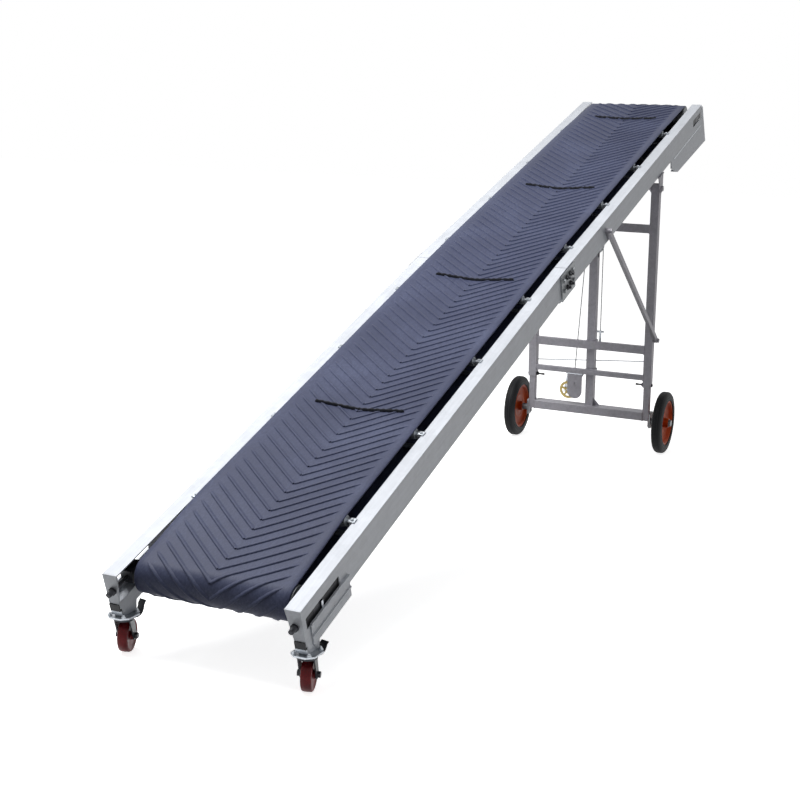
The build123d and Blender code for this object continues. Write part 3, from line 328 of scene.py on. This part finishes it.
# the belt: one loop that follows the pulleys, with chevron ribs and cross cleats
belt = {"halfWidth": 250 * mm, "thick": 6 * mm, "play": 0.2 * mm, "edge": 1.5 * mm, "rise": 22 * mm,
        "round": 25 * mm, "troughFrom": 425 * mm, "troughTo": 3998 * mm, "idlers": (1956.4 * mm, 2466.9 * mm),
        "headAt": 4430 * mm, "headRise": 13 * mm, "headRadius": 56.5 * mm, "tailAt": 95 * mm, "tailRadius": 49 * mm,
        "returnDepth": 68 * mm, "returns": (560 * mm, 1526.7 * mm, 2493.3 * mm, 3460 * mm),
        "snub": (3990 * mm, -150 * mm), "pastDrum": 200 * mm, "step": 17 * mm, "wrapStep": 5 * mm, "columns": 24}
rib = {"pitch": 51 * mm, "phase": 0.25, "sweep": radians(39), "reach": 220 * mm, "foot": 14 * mm,
       "height": 4.2 * mm, "steps": 12, "taper": 16 * mm, "ripple": 0.0,  # and a profile steep towards the tail
       "profile": ((-0.5, -0.1), (-0.4, 0.7), (-0.26, 1.0), (0.0, 0.86), (0.25, 0.45), (0.5, -0.1))}
cleat = {"first": 1033 * mm, "pitch": 1057 * mm, "onTop": 4, "reach": 165 * mm, "foot": 11 * mm,
         "height": 9 * mm, "steps": 44, "taper": 8 * mm, "ripple": 0.12,
         "profile": ((-0.5, -0.1), (-0.42, 0.6), (-0.2, 0.95), (0.2, 0.95), (0.42, 0.6), (0.5, -0.1))}
tailOuter, headOuter = [belt[key] + belt["play"] + belt["thick"] for key in ("tailRadius", "headRadius")]
tailAxis = Vector((belt["tailAt"], -tailOuter))
headAxis = Vector(flat(belt["headAt"], belt["headRise"] - headOuter))


def leaveAngle(axis, radius, target, turn):
    run = (turn * (target[0] - axis.x), target[1] - axis.y)
    return pi + atan2(run[1], run[0]) + asin(radius / hypot(*run))


def arcPoints(axis, radius, start, end):
    count = round(abs(end - start) * radius / belt["wrapStep"])
    angles = [start + (end - start) * i / count for i in range(count)]
    return [axis + Vector((cos(a), sin(a))) * radius for a in angles]


def beltLoop():
    back = [flat(s, -belt["returnDepth"]) for s in belt["returns"]] + [flat(*belt["snub"])]
    headTurn = leaveAngle(headAxis, headOuter, back[-1], -1)
    tailTurn = leaveAngle(tailAxis, tailOuter, back[0], 1)
    headEnd = headAxis + Vector((cos(pi / 2 - headTurn), sin(pi / 2 - headTurn))) * headOuter
    tailStart = tailAxis + Vector((cos(pi / 2 + tailTurn), sin(pi / 2 + tailTurn))) * tailOuter
    top = [(belt["tailAt"], 0), (belt["idlers"][0], 0), flat(belt["idlers"][1], 0), flat(belt["troughTo"], 0),
           flat(belt["headAt"], belt["headRise"])]
    loop = []
    for first, second in zip(top, top[1:]):
        loop += steps(first, second, belt["step"])
    loop += arcPoints(headAxis, headOuter, pi / 2 - deck["bend"], pi / 2 - headTurn)
    low = [headEnd, *reversed(back), tailStart]
    for first, second in zip(low, low[1:]):
        loop += steps(first, second, belt["step"])
    return loop + arcPoints(tailAxis, tailOuter, pi / 2 + tailTurn, pi / 2)


loop = beltLoop()
loopCount = len(loop)
loopLengths = [0.0]
loopNormals = []
for i in range(loopCount):
    ahead = loop[(i + 1) % loopCount]
    loopLengths.append(loopLengths[-1] + (ahead - loop[i]).length)
    run = (ahead - loop[i - 1]).normalized()
    loopNormals.append(Vector((-run.y, run.x)))
topEnd = belt["headAt"] - belt["tailAt"]  # the top run's share of the loop


def troughRise(s):
    rising = (s - belt["tailAt"]) / (belt["troughFrom"] - belt["tailAt"])
    falling = (headAxis.x - s) / (headAxis.x - belt["troughTo"])
    return belt["rise"] * max(0.0, min(1.0, rising, falling))


def beltPoint(u, y, height):
    # a point on the belt's outer face: u along the loop, y across, height above the face
    u %= loopLengths[-1]
    i = min(bisect_right(loopLengths, u) - 1, loopCount - 1)
    j = (i + 1) % loopCount
    share = (u - loopLengths[i]) / (loopLengths[i + 1] - loopLengths[i])
    spot = loop[i].lerp(loop[j], share)
    normal = loopNormals[i].lerp(loopNormals[j], share).normalized()
    soft = belt["round"]
    vee = (sqrt(y * y + soft * soft) - soft) / (sqrt(belt["halfWidth"] ** 2 + soft * soft) - soft)
    spot = spot + normal * (height + (troughRise(spot.x) * vee if u < topEnd else 0.0))
    return onTail(spot.x, y, spot.y)


beltWork = bmesh.new()
row = [belt["halfWidth"] * (2 * i / belt["columns"] - 1) for i in range(belt["columns"] + 1)]
rimHeights = (-belt["edge"], belt["edge"] - belt["thick"])
section = [(y, 0.0) for y in row]
section += [(belt["halfWidth"] + belt["edge"], h) for h in rimHeights]
section += [(y, -belt["thick"]) for y in reversed(row)]
section += [(-belt["halfWidth"] - belt["edge"], h) for h in reversed(rimHeights)]
beltRings = [[beltPoint(u, y, h) for y, h in section] for u in loopLengths[:-1]]
bridge(beltWork, beltRings + beltRings[:1], caps=False)
joinGap = 0.01 * mm
bmesh.ops.remove_doubles(beltWork, verts=beltWork.verts, dist=joinGap)
barTip = {"height": 0.02, "foot": 0.5}  # what is left of a bar at its tip
barWave = {"along": 7.3, "apart": 900}  # unevenness along a bar, and how it shifts from bar to bar


def raisedBar(work, u, size, ahead):
    # both arms of a rib or cleat, laid on the belt's face; the ends run out over the taper
    length = hypot(size["reach"], ahead)
    for side in (-1, 1):
        rings = []
        for i in range(size["steps"] + 1):
            t = i / size["steps"]
            fall = min(1.0, sqrt(max(0.0, (1 - t) * length / size["taper"])) + barTip["height"])
            wave = 1 + size["ripple"] * sin(barWave["along"] * i + barWave["apart"] * u)
            points = []
            for w, h in size["profile"]:
                wide = w * size["foot"] * max(fall, barTip["foot"]) * wave
                across = side * (size["reach"] * t - wide * ahead / length)
                points.append(beltPoint(u + ahead * t + wide * size["reach"] / length, across,
                                        h * size["height"] * fall * wave))
            rings.append(points)
        bridge(work, rings)


ribAhead = rib["reach"] * tan(rib["sweep"])
ribCount = round(loopLengths[-1] / rib["pitch"])
for i in range(ribCount):
    raisedBar(beltWork, loopLengths[-1] * (i + rib["phase"]) / ribCount, rib, ribAhead)
beltPiece = finishMesh("ribbed_belt", beltWork, "belt_rubber", "conveyor", 50)
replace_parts(beltPiece, "belt")
cleatWork = bmesh.new()
cleatPlaces = [cleat["first"] + i * cleat["pitch"] - belt["tailAt"] for i in range(cleat["onTop"])]
# on the return run, a cleat a quarter of the way from each roller to the next
lastReturn = belt["returns"][-1]
backStart = next(i for i in range(loopCount)
                 if loopLengths[i] > topEnd + belt["pastDrum"] and loop[i].x <= lastReturn)
for first, second in zip(belt["returns"], belt["returns"][1:]):
    cleatPlaces.append(loopLengths[backStart] + loop[backStart].x - (3 * first + second) / 4)
for u in cleatPlaces:
    raisedBar(cleatWork, u, cleat, 0.0)
# the cleats take the near-black rubber: painted shade on their faces turned from the light
finishMesh("cross_cleats", cleatWork, "belt_rubber", "conveyor", 50, cleatLookWithShade)
print("belt:", ribCount, "ribs,", len(cleatPlaces), "cleats")

# eased copies of the folded, sawn and cast pieces; width of the ease in metres
easedPieces = {
    2.0 * mm: ["rail_lower_left", "rail_lower_right", "rail_upper_left", "rail_upper_right", "head_plate_left",
               "head_plate_right", "upright_left", "upright_right", "axle_beam", "mast", "legs", "top_bar", "mid_bar",
               "low_bar"],
    1.0 * mm: ["splices", "cross_tubes", "tail_end_plates", "take_ups", "drum_blocks", "idler_hangers", "tail_feet",
               "foot_plugs", "pivot_brackets", "struts", "strut_bolts", "stub_axles", "winch_frame", "winch_cover",
               "caster_plates", "rope_anchor", "carrying_rollers", "return_rollers", "tail_pulley", "head_drum",
               "mast_sheave"],
}
# nodes that look darker or brighter in the photograph than the rest of their slot
ownLooks = {"splices": looks["drum_steel"], "stub_axles": looks["drum_steel"], "idler_hangers": looks["zinc_steel"],
            "winch_cover": looks["galvanised_tube"], "tail_feet": looks["galvanised_rail"],
            "take_ups": darkSteelAndShade, "drum_blocks": darkSteelAndShade}
for width, names in easedPieces.items():
    for name in names:
        soften(name, width, ownLooks.get(name))
# the caster forks take the dark steel as painted shade: zinc forks that sit in shade above their wheels
for side in sides:
    soften("caster_fork_" + side, 1.0 * mm, darkSteelAndShade)
for name, node in nodes.items():
    node.data.materials.clear()
    node.data.materials.append(looks[slotOf[name]])
print("eased pieces:", sum(len(names) for names in easedPieces.values()) + 2)

# main wheels: profile rows are (out from the wheel's middle, radius) in mm
wheel = {"tyre": [(-25, 112), (-25, 117), (-23.6, 119), (-25, 121), (-25, 131), (-23, 134), (-24.4, 137),
                  (-22.5, 145), (-18, 150.5), (-13, 153.4), (-12, 151.6), (-10, 151.6), (-9, 154), (-1.5, 154),
                  (-1, 152), (1, 152), (1.5, 154), (9, 154), (10, 151.6), (12, 151.6), (13, 153.4), (18, 150.5),
                  (22.5, 145), (24.4, 137), (23, 134), (25, 131), (25, 121), (23.6, 119), (25, 117), (25, 112)],
         "disc": [(-29, 10.4), (-29, 22.5), (-27.5, 24), (-10.5, 24), (-9, 27), (-7.5, 52), (-9, 56), (-9, 62),
                  (-7, 66), (-5, 90), (-8, 96), (-17, 100), (-19.6, 102), (-20, 105), (-20, 111.7), (20, 111.7),
                  (20, 105), (19.6, 102), (16, 99.5), (6, 95.5), (2.5, 90), (0.5, 66), (-1.5, 62), (-1.5, 56),
                  (0, 52), (-2, 27), (-1, 24), (27.5, 24), (29, 22.5), (29, 10.4)],
         "washer": [(29.2, 8), (29.2, 19), (31, 19.5), (31, 8)], "round": 96, "washerRound": 40}
for side, sign in sides.items():
    at = middle("wheel_tyre_" + side)
    for part, node, slot in (("tyre", "wheel_tyre_", "tyre_rubber"), ("disc", "wheel_disc_", "disc_paint")):
        work = bmesh.new()
        turned(work, at, (0, sign, 0), wheel[part], wheel["round"], True)
        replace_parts(finishMesh(f"{part}_{side}_lathe", work, slot, "wheel_" + side, 35), node + side)
    work = bmesh.new()
    turned(work, at, (0, sign, 0), wheel["washer"], wheel["washerRound"], True)
    finishMesh(f"hub_washer_{side}", work, "zinc_steel", "wheel_" + side, 35, darkSteelAndShade)

# casters: a crowned wheel with a recessed side, a bearing ring, four bolts through the plate and a brake pedal
caster = {"turn": radians(16), "at": 74 * mm, "across": 302 * mm, "height": 126 * mm,
          "bolts": (33 * mm, 24 * mm), "boltSize": 7, "boltStud": 4,
          "wheel": [(-20.8, 5.4), (-20.8, 11.5), (-19.5, 13), (-16, 13), (-14, 15), (-13, 24), (-13, 35), (-15, 39),
                    (-16, 41), (-16, 44.5), (-14.6, 47.6), (-11.5, 49.4), (0, 50), (11.5, 49.4), (14.6, 47.6),
                    (16, 44.5), (16, 41), (15, 39), (13, 35), (13, 24), (14, 15), (16, 13), (19.5, 13),
                    (20.8, 11.5), (20.8, 5.4)], "wheelRound": 64,
          "race": [(-10, 7), (-10, 26), (-8.5, 29), (-6.5, 30.5), (-4.5, 29), (-3.5, 25), (-2, 24.5), (0, 23),
                   (0, 7)], "raceRound": 40, "raceDrop": 5 * mm,
          "brake": [(30, -17), (44, -17), (54, -14), (61, -7), (65, 3), (67, 14), (74, 26)], "brakeHalf": 13 * mm,
          "brakeThick": 3 * mm, "brakeTurn": radians(-30), "brakeLift": {"left": 1.0, "right": 0.45}}
for side, sign in sides.items():
    axis = (-sin(caster["turn"]), cos(caster["turn"]), 0)
    work = bmesh.new()
    turned(work, middle("caster_wheel_" + side), axis, caster["wheel"], caster["wheelRound"], True)
    tread = finishMesh(f"caster_tread_{side}", work, "caster_red", "caster_wheel_" + side, 35)
    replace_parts(tread, "caster_wheel_" + side)
    king = Vector((deckZero.x + caster["at"], sign * caster["across"], caster["height"]))
    work = bmesh.new()
    raceAt = king - Vector((0, 0, caster["raceDrop"]))
    turned(work, raceAt, (0, 0, 1), caster["race"], caster["raceRound"], True)
    for dx in (-1, 1):
        for dy in (-1, 1):
            spot = king + Vector((dx * caster["bolts"][0], dy * caster["bolts"][1], 0))
            hexBolt(work, spot, (0, 0, 1), caster["boltSize"], caster["boltStud"])
    finishMesh(f"caster_race_{side}", work, "zinc_steel", "conveyor", 35)
    # the brake pedal: a bent strip that comes up behind the plate
    work = bmesh.new()
    aside = caster["turn"] + caster["brakeTurn"]
    lift = caster["brakeLift"][side]  # one pedal is up, the other trodden down
    rear = Vector((cos(aside), sin(aside), 0))
    strip = []
    for along, up in caster["brake"]:
        strip.append(king + rear * (along * mm) + Vector((0, 0, up * mm * (lift if up > 0 else 1))))
    broad, thick = caster["brakeHalf"], caster["brakeThick"] / 2
    sweep(work, strip, lambda i: [(broad, -thick), (broad, thick), (-broad, thick), (-broad, -thick)])
    finishMesh(f"caster_brake_{side}", work, slotOf["caster_fork_" + side], "caster_" + side, 40, darkSteelAndShade)
print("wheels and casters done")

# winch: a toothed, spoked wheel on the reel, with rope wound on the drum
winch = {"axis": (112 * mm, 270 * mm), "gear": (1.7 * mm, 8.5 * mm), "teeth": 42, "outer": 46 * mm,
         "root": 42.6 * mm, "rim": 33 * mm, "hub": 13 * mm,
         "tooth": ((0.0, "root"), (0.22, "root"), (0.38, "outer"), (0.62, "outer"), (0.78, "root")),
         "hubRows": [(0.7, 8.5), (0.7, 13), (1.7, 14), (8.5, 14), (8.5, 8.5)],
         "spokes": 5, "spokeTurn": 0.3, "spokeHalf": (0.42, 0.13), "spokeInset": 0.4 * mm, "spokeLap": 1 * mm,
         "reel": [(1, 0), (1, 7.5), (0, 8), (13, 8), (13, 18), (28, 18), (28, 8), (36, 8), (37, 7), (37, 0)],
         "round": 40, "drumRadius": 18 * mm, "coilFrom": 15.6 * mm, "coilPitch": 4.6 * mm, "turns": 2.4}


def winchPoint(x, radius, angle):
    return onStand(x, winch["axis"][0] + radius * cos(angle), winch["axis"][1] + radius * sin(angle))


gearWork = bmesh.new()
teethAngles = []
for i in range(winch["teeth"]):
    for part, reach in winch["tooth"]:
        teethAngles.append((2 * pi * (i + part) / winch["teeth"], winch[reach]))
front, back = winch["gear"]
gearRows = [[winchPoint(x, reach or tooth, angle) for angle, tooth in teethAngles]
            for x, reach in ((front, None), (front, winch["rim"]), (back, winch["rim"]), (back, None), (front, None))]
bridge(gearWork, gearRows, caps=False)
bmesh.ops.remove_doubles(gearWork, verts=gearWork.verts, dist=joinGap)
reelAt = onStand(0, *winch["axis"])
turned(gearWork, reelAt, standRun, winch["hubRows"], winch["round"], True)
near, far = front + winch["spokeInset"], back - winch["spokeInset"]
for k in range(winch["spokes"]):
    angle = 2 * pi * k / winch["spokes"] + winch["spokeTurn"]
    spoke = []
    for radius, half in zip((winch["hub"], winch["rim"] + winch["spokeLap"]), winch["spokeHalf"]):
        corners = ((near, -half), (near, half), (far, half), (far, -half))
        spoke.append([winchPoint(x, radius, angle + turn) for x, turn in corners])
    bridge(gearWork, spoke)
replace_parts(finishMesh("winch_gear", gearWork, "yellow_zinc", "conveyor", 30), "winch_drum")
reelWork = bmesh.new()
turned(reelWork, reelAt, standRun, winch["reel"], winch["round"])
finishMesh("winch_reel", reelWork, "zinc_steel", "conveyor", 35)


def strands(count, lay, radius):
    # outline of a laid rope, turned a little further at each step
    def ring(i):
        points = []
        for k in range(3 * count):
            angle = 2 * pi * k / (3 * count)
            reach = radius * (0.8 + 0.2 * abs(cos(count * angle / 2)))
            points.append((reach * cos(angle + lay * i), reach * sin(angle + lay * i)))
        return points
    return ring


rope = {"strands": 6, "lay": 0.42, "radius": 2.5 * mm, "step": 3 * mm, "bend": 42.6 * mm, "x": 20.5 * mm,
        "sheave": 1020.6 * mm, "drumSide": 91.3 * mm, "anchor": 590 * mm, "travel": 340 * mm, "arcSteps": 60}
shape = strands(rope["strands"], rope["lay"], rope["radius"])
ropeLegs = {
    "rope_winch_leg": ((rope["x"], rope["drumSide"], winch["axis"][1]), (rope["x"], rope["bend"], rope["sheave"])),
    "rope_anchor_leg": ((rope["x"], -rope["bend"], rope["anchor"]), (rope["x"], -rope["bend"], rope["sheave"])),
}
for name, (low, high) in ropeLegs.items():
    work = bmesh.new()
    low, high = onStand(*low), onStand(*high)
    sweep(work, steps(low, high, rope["step"]) + [high], shape)
    piece = finishMesh(name + "_strands", work, "wire_rope", "conveyor", 60)
    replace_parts(piece, name)
    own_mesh(piece)
work = bmesh.new()
arc = []
for i in range(rope["arcSteps"] + 1):
    angle = pi * i / rope["arcSteps"]
    arc.append(onStand(rope["x"], rope["bend"] * cos(angle), rope["sheave"] + rope["bend"] * sin(angle)))
sweep(work, arc, shape)
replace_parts(finishMesh("rope_bend_strands", work, "wire_rope", "stand", 60), "rope_bend")
work = bmesh.new()
coil = []
for i in range(round(winch["turns"] * rope["arcSteps"])):
    share = i / rope["arcSteps"]
    coil.append(winchPoint(winch["coilFrom"] + winch["coilPitch"] * share, winch["drumRadius"] + rope["radius"],
                           pi + 2 * pi * share))
sweep(work, coil, shape)
finishMesh("rope_on_drum", work, "wire_rope", "conveyor", 60)
print("winch and rope done")

# lock handles: a collar on the upright's inner face, a waisted grip, and the plug on the outer face
lock = {"z": 340 * mm, "inner": 280 * mm, "outer": 320 * mm, "round": 28,
        "grip": [(0, 2), (0, 9), (1, 9.6), (7, 9.6), (8, 9), (8, 5.2), (14, 4.2), (22, 3.9), (32, 5), (38, 5.4),
                 (40, 4.2), (40.4, 0)],
        "plug": [(0, 2), (0, 8), (4.5, 8), (6, 6.8), (6, 0)]}
work = bmesh.new()
for sign in sides.values():
    turned(work, onStand(0, sign * lock["inner"], lock["z"]), (0, -sign, 0), lock["grip"], lock["round"])
    turned(work, onStand(0, sign * lock["outer"], lock["z"]), (0, sign, 0), lock["plug"], lock["round"])
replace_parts(finishMesh("lock_grips", work, "black_plastic", "conveyor", 40), "lock_handles")

# small fittings that the photograph shows, placed in mm on the deck; a block is start, end, inner, outer, low, high
hardware = {"cap": [(0, 3), (0, 11), (1, 12), (8, 12), (10, 10), (12, 8.5), (25, 8), (26.5, 6), (26.5, 0)],
            "capAt": (-5, 295, -55.2), "capRound": 28,
            "splice": (2242, 2282), "spliceRows": (-30, -72), "spliceFace": 326, "nut": (11, 9),
            "idlerFirst": 425, "idlerPitch": 510.43, "idlers": 8, "hook": (267, 4), "hookBolt": (5, 1),
            "slotTab": (104, 114, 319, 321.2, -66, -44), "footCollar": (-6, -2.9, 283.5, 320.5, -142, -127),
            "plugLip": (-8, -4.8, 285, 319, -127, -103),
            # a round zinc rod on the outer face along the rail's lower edge by the head plate: it stands for that
            # edge, and its brightness is a painted highlight
            "edgeHighlight": (3935, 4500, -104), "edgeHighlightRadius": 2.5 * mm, "edgeHighlightStep": 20 * mm, "edgeHighlightSides": 10}
# black blocks behind the slots, painted shade that makes the openings read dark: sides, spans along the rail and
# heights
slotShade = {"depth": (313, 315.5),
        "tail": ((-1,), ((13, 64), (126, 219)), (-75, -35)),
        "head": ((-1, 1), ((4332, 4395), (4465, 4498)), (-67, -32))}


def deckSpot(sign, s, y, n):
    return onDeck(s * mm, sign * y * mm, n * mm)


def deckBlock(work, sign, start, end, inner, outer, low, high):
    corners = ((start, low), (end, low), (end, high), (start, high))
    bridge(work, [[deckSpot(sign, s, y, n) for s, n in corners] for y in (inner, outer)])


def edgeHighlightRing(i):
    angles = [2 * pi * k / hardware["edgeHighlightSides"] for k in range(hardware["edgeHighlightSides"])]
    return [(hardware["edgeHighlightRadius"] * cos(angle), hardware["edgeHighlightRadius"] * sin(angle)) for angle in angles]


work = bmesh.new()
for sign in sides.values():
    turned(work, deckSpot(sign, *hardware["capAt"]), -deckRun, hardware["cap"], hardware["capRound"])
finishMesh("take_up_caps", work, "black_plastic", "conveyor", 35, darkSteelAndShade)
work, nutWork = bmesh.new(), bmesh.new()
railFace = deck["halfWidth"] / mm
for sign in sides.values():
    for n in hardware["spliceRows"]:
        for s in hardware["splice"]:
            hexBolt(nutWork, deckSpot(sign, s, hardware["spliceFace"], n), (0, sign, 0), *hardware["nut"])
    for block in ("slotTab", "footCollar"):
        deckBlock(work, sign, *hardware[block])
    # the rod along the rail's lower edge by the head plate, drawn bright as a painted highlight
    start, end, n = hardware["edgeHighlight"]
    edgeHighlight = steps(deckSpot(sign, start, railFace, n), deckSpot(sign, end, railFace, n), hardware["edgeHighlightStep"])
    sweep(work, edgeHighlight, edgeHighlightRing)
    for k in range(hardware["idlers"]):
        hookAt = deckSpot(sign, hardware["idlerFirst"] + hardware["idlerPitch"] * k, *hardware["hook"])
        hexBolt(work, hookAt, deckUp, *hardware["hookBolt"])
finishMesh("plate_bolts", work, "zinc_steel", "conveyor", 35)
finishMesh("splice_nuts", nutWork, "zinc_steel", "conveyor", 35, darkSteelAndShade)
work = bmesh.new()
# painted shade: black blocks just inside the rail webs, behind the slots; then the foot plugs' lips
for end in ("tail", "head"):
    signs, spans, rows = slotShade[end]
    for sign in signs:
        for span in spans:
            deckBlock(work, sign, *span, *slotShade["depth"], *rows)
for sign in sides.values():
    deckBlock(work, sign, *hardware["plugLip"])
finishMesh("slot_shade_and_plug_lips", work, "black_plastic", "conveyor", 40)

# weld beads where tubes meet, laid in overlapping ripples; places in mm on the stand, the pivot's on the deck
weld = {"radius": 3.2 * mm, "step": 1.6 * mm, "ripple": 0.16, "wave": 1.9, "sides": 7,
        "barEnd": 280, "barBack": (-20, 0), "bars": ((1101, 1141), (500, 540), (366, 391)),
        "leg": (-15.5, 15.5), "legInner": 284.5, "legOuter": 315.5, "beam": (158, 200), "stubLow": 130,
        "mast": ((0.5, 40.5), (-20, 20)),
        "pivot": (3679 - 38, 3679 + 38), "lugSides": (275, 325), "railUnder": -100}


def weldBead(work, corners):
    path = []
    for first, second in zip(corners, corners[1:]):
        path += steps(first, second, weld["step"])
    path.append(Vector(corners[-1]))
    angles = [2 * pi * k / weld["sides"] for k in range(weld["sides"])]

    def ring(i):
        reach = weld["radius"] * (1 + weld["ripple"] * sin(weld["wave"] * i))
        return [(reach * cos(angle), reach * sin(angle)) for angle in angles]
    sweep(work, path, ring)


def boxLoop(xs, ys, zs):
    # corners of a rectangle in one of the stand's planes, back to the first
    turns = ((0, 0), (0, 1), (1, 1), (1, 0), (0, 0))
    if ys[0] == ys[1]:
        return [onStand(xs[i] * mm, ys[0] * mm, zs[j] * mm) for i, j in turns]
    return [onStand(xs[i] * mm, ys[j] * mm, zs[0] * mm) for i, j in turns]


barWork, standWork = bmesh.new(), bmesh.new()
beamTop = weld["beam"][1]
for sign in sides.values():
    barFace, innerFace = [(sign * weld[key], sign * weld[key]) for key in ("barEnd", "legInner")]
    for rows in weld["bars"]:
        weldBead(barWork, boxLoop(weld["barBack"], barFace, rows))
    weldBead(standWork, boxLoop(weld["leg"], innerFace, weld["beam"]))
    back, front = weld["leg"]
    outerPath = ((back, weld["stubLow"]), (back, beamTop), (front, beamTop), (front, weld["stubLow"]))
    weldBead(standWork, [onStand(x * mm, sign * weld["legOuter"] * mm, z * mm) for x, z in outerPath])
    for y in weld["lugSides"]:
        weldBead(barWork, [deckSpot(sign, s, y, weld["railUnder"]) for s in weld["pivot"]])
weldBead(standWork, boxLoop(*weld["mast"], (beamTop, beamTop)))
finishMesh("bar_welds", barWork, "galvanised_tube", "conveyor", 60)
finishMesh("axle_welds", standWork, "galvanised_tube", "stand", 60)
print("fasteners and welds done")

# stage: pale floor, soft light, and the camera where the photograph was taken from
stage = {"floorSize": 80.0, "seenFloor": "#ffffff", "bounceFloor": "#4c4c4c", "floorGlow": 0.82,
         "skyTop": 0.36, "skyLow": 0.05,
         "key": {"place": (-1.4, 1.5, 4.3), "target": (0, 0, 0.8), "size": 3.6, "power": 240.0},
         "fill": {"place": (-0.5, -7.0, 2.4), "target": (0, 0, 0.6), "size": 4.0, "power": 14.0}}
floorWork = bmesh.new()
bmesh.ops.create_grid(floorWork, x_segments=4, y_segments=4, size=stage["floorSize"] / 2)
floorMesh = bpy.data.meshes.new("studioFloor")
floorWork.to_mesh(floorMesh)
floorWork.free()
floor = bpy.data.objects.new("studioFloor", floorMesh)
bpy.context.scene.collection.objects.link(floor)
# matt floor paint: white to the eye and in reflections, greyer for the light that it throws back up
floorLook, floorTree, floorShader = newMaterial("mattFloorPaint", {"Roughness": 0.9, "Specular IOR Level": 0.0})
floorMesh.materials.append(floorLook)


def seenRay(tree):
    # one for the rays that reach the eye straight, by reflection or through glass
    ray = addNode(tree, "ShaderNodeLightPath", {}, {}).outputs
    seen = ray["Is Camera Ray"]
    for kind in ("Is Glossy Ray", "Is Transmission Ray"):
        seen = addNode(tree, "ShaderNodeMath", {"operation": "MAXIMUM"}, {0: seen, 1: ray[kind]}).outputs[0]
    return seen


seen = seenRay(floorTree)
floorTones = [(0.0, stage["bounceFloor"]), (1.0, stage["seenFloor"])]
paint = addNode(floorTree, "ShaderNodeValToRGB", {"stops": floorTones}, {"Fac": seen})
floorTree.links.new(paint.outputs["Color"], floorShader.inputs["Base Color"])
glow = addNode(floorTree, "ShaderNodeMath", {"operation": "MULTIPLY", 1: stage["floorGlow"]}, {0: seen})
floorShader.inputs["Emission Color"].default_value = hexColour(stage["seenFloor"])
floorTree.links.new(glow.outputs[0], floorShader.inputs["Emission Strength"])

world = bpy.data.worlds.new("studioWorld")
bpy.context.scene.world = world
world.use_nodes = True
worldTree = world.node_tree
backdrop = worldTree.nodes["Background"]
direction = addNode(worldTree, "ShaderNodeTexCoord", {}, {}).outputs["Generated"]
height = addNode(worldTree, "ShaderNodeSeparateXYZ", {}, {"Vector": direction}).outputs["Z"]
skyRange = {"To Min": stage["skyLow"], "To Max": stage["skyTop"]}
sky = addNode(worldTree, "ShaderNodeMapRange", skyRange, {"Value": height})
level = addNode(worldTree, "ShaderNodeMix", {3: 1.0}, {0: seenRay(worldTree), 2: sky.outputs["Result"]})
worldTree.links.new(level.outputs[0], backdrop.inputs["Strength"])
backdrop.inputs["Color"].default_value = hexColour(stage["seenFloor"])


def areaLight(name, place, target, size, power):
    lamp = bpy.data.lights.new(name, "AREA")
    lamp.shape = "DISK"
    lamp.size = size
    lamp.energy = power
    holder = bpy.data.objects.new(name, lamp)
    bpy.context.scene.collection.objects.link(holder)
    holder.location = place
    holder.rotation_euler = (Vector(target) - Vector(place)).to_track_quat("-Z", "Y").to_euler()


areaLight("overheadSoftbox", **stage["key"])
areaLight("frontSoftbox", **stage["fill"])

view = {"place": (-3.1111, -1.986, 1.5161), "yaw": radians(24.2467), "pitch": radians(-10.7638),
        "roll": radians(2.1025), "focalPixels": 1391.96, "imagePixels": 800, "sensor": 36.0}
levelAhead = Vector((cos(view["yaw"]), sin(view["yaw"]), 0))
ahead = levelAhead * cos(view["pitch"]) + Vector((0, 0, sin(view["pitch"])))
levelRight = Vector((sin(view["yaw"]), -cos(view["yaw"]), 0))
levelUp = levelRight.cross(ahead)
rightward = levelRight * cos(view["roll"]) + levelUp * sin(view["roll"])
upward = levelUp * cos(view["roll"]) - levelRight * sin(view["roll"])
cameraData = bpy.data.cameras.new("photoCamera")
cameraData.sensor_width = view["sensor"]
cameraData.lens = view["focalPixels"] / view["imagePixels"] * view["sensor"]
camera = bpy.data.objects.new("photoCamera", cameraData)
bpy.context.scene.collection.objects.link(camera)
place = Vector(view["place"]) + Vector((deckZero.x, 0, 0))
camera.matrix_world = Matrix.Translation(place) @ Matrix((rightward, upward, -ahead)).transposed().to_4x4()
bpy.context.scene.camera = camera
bpy.context.scene.view_settings.view_transform = "Standard"
print("stage set")
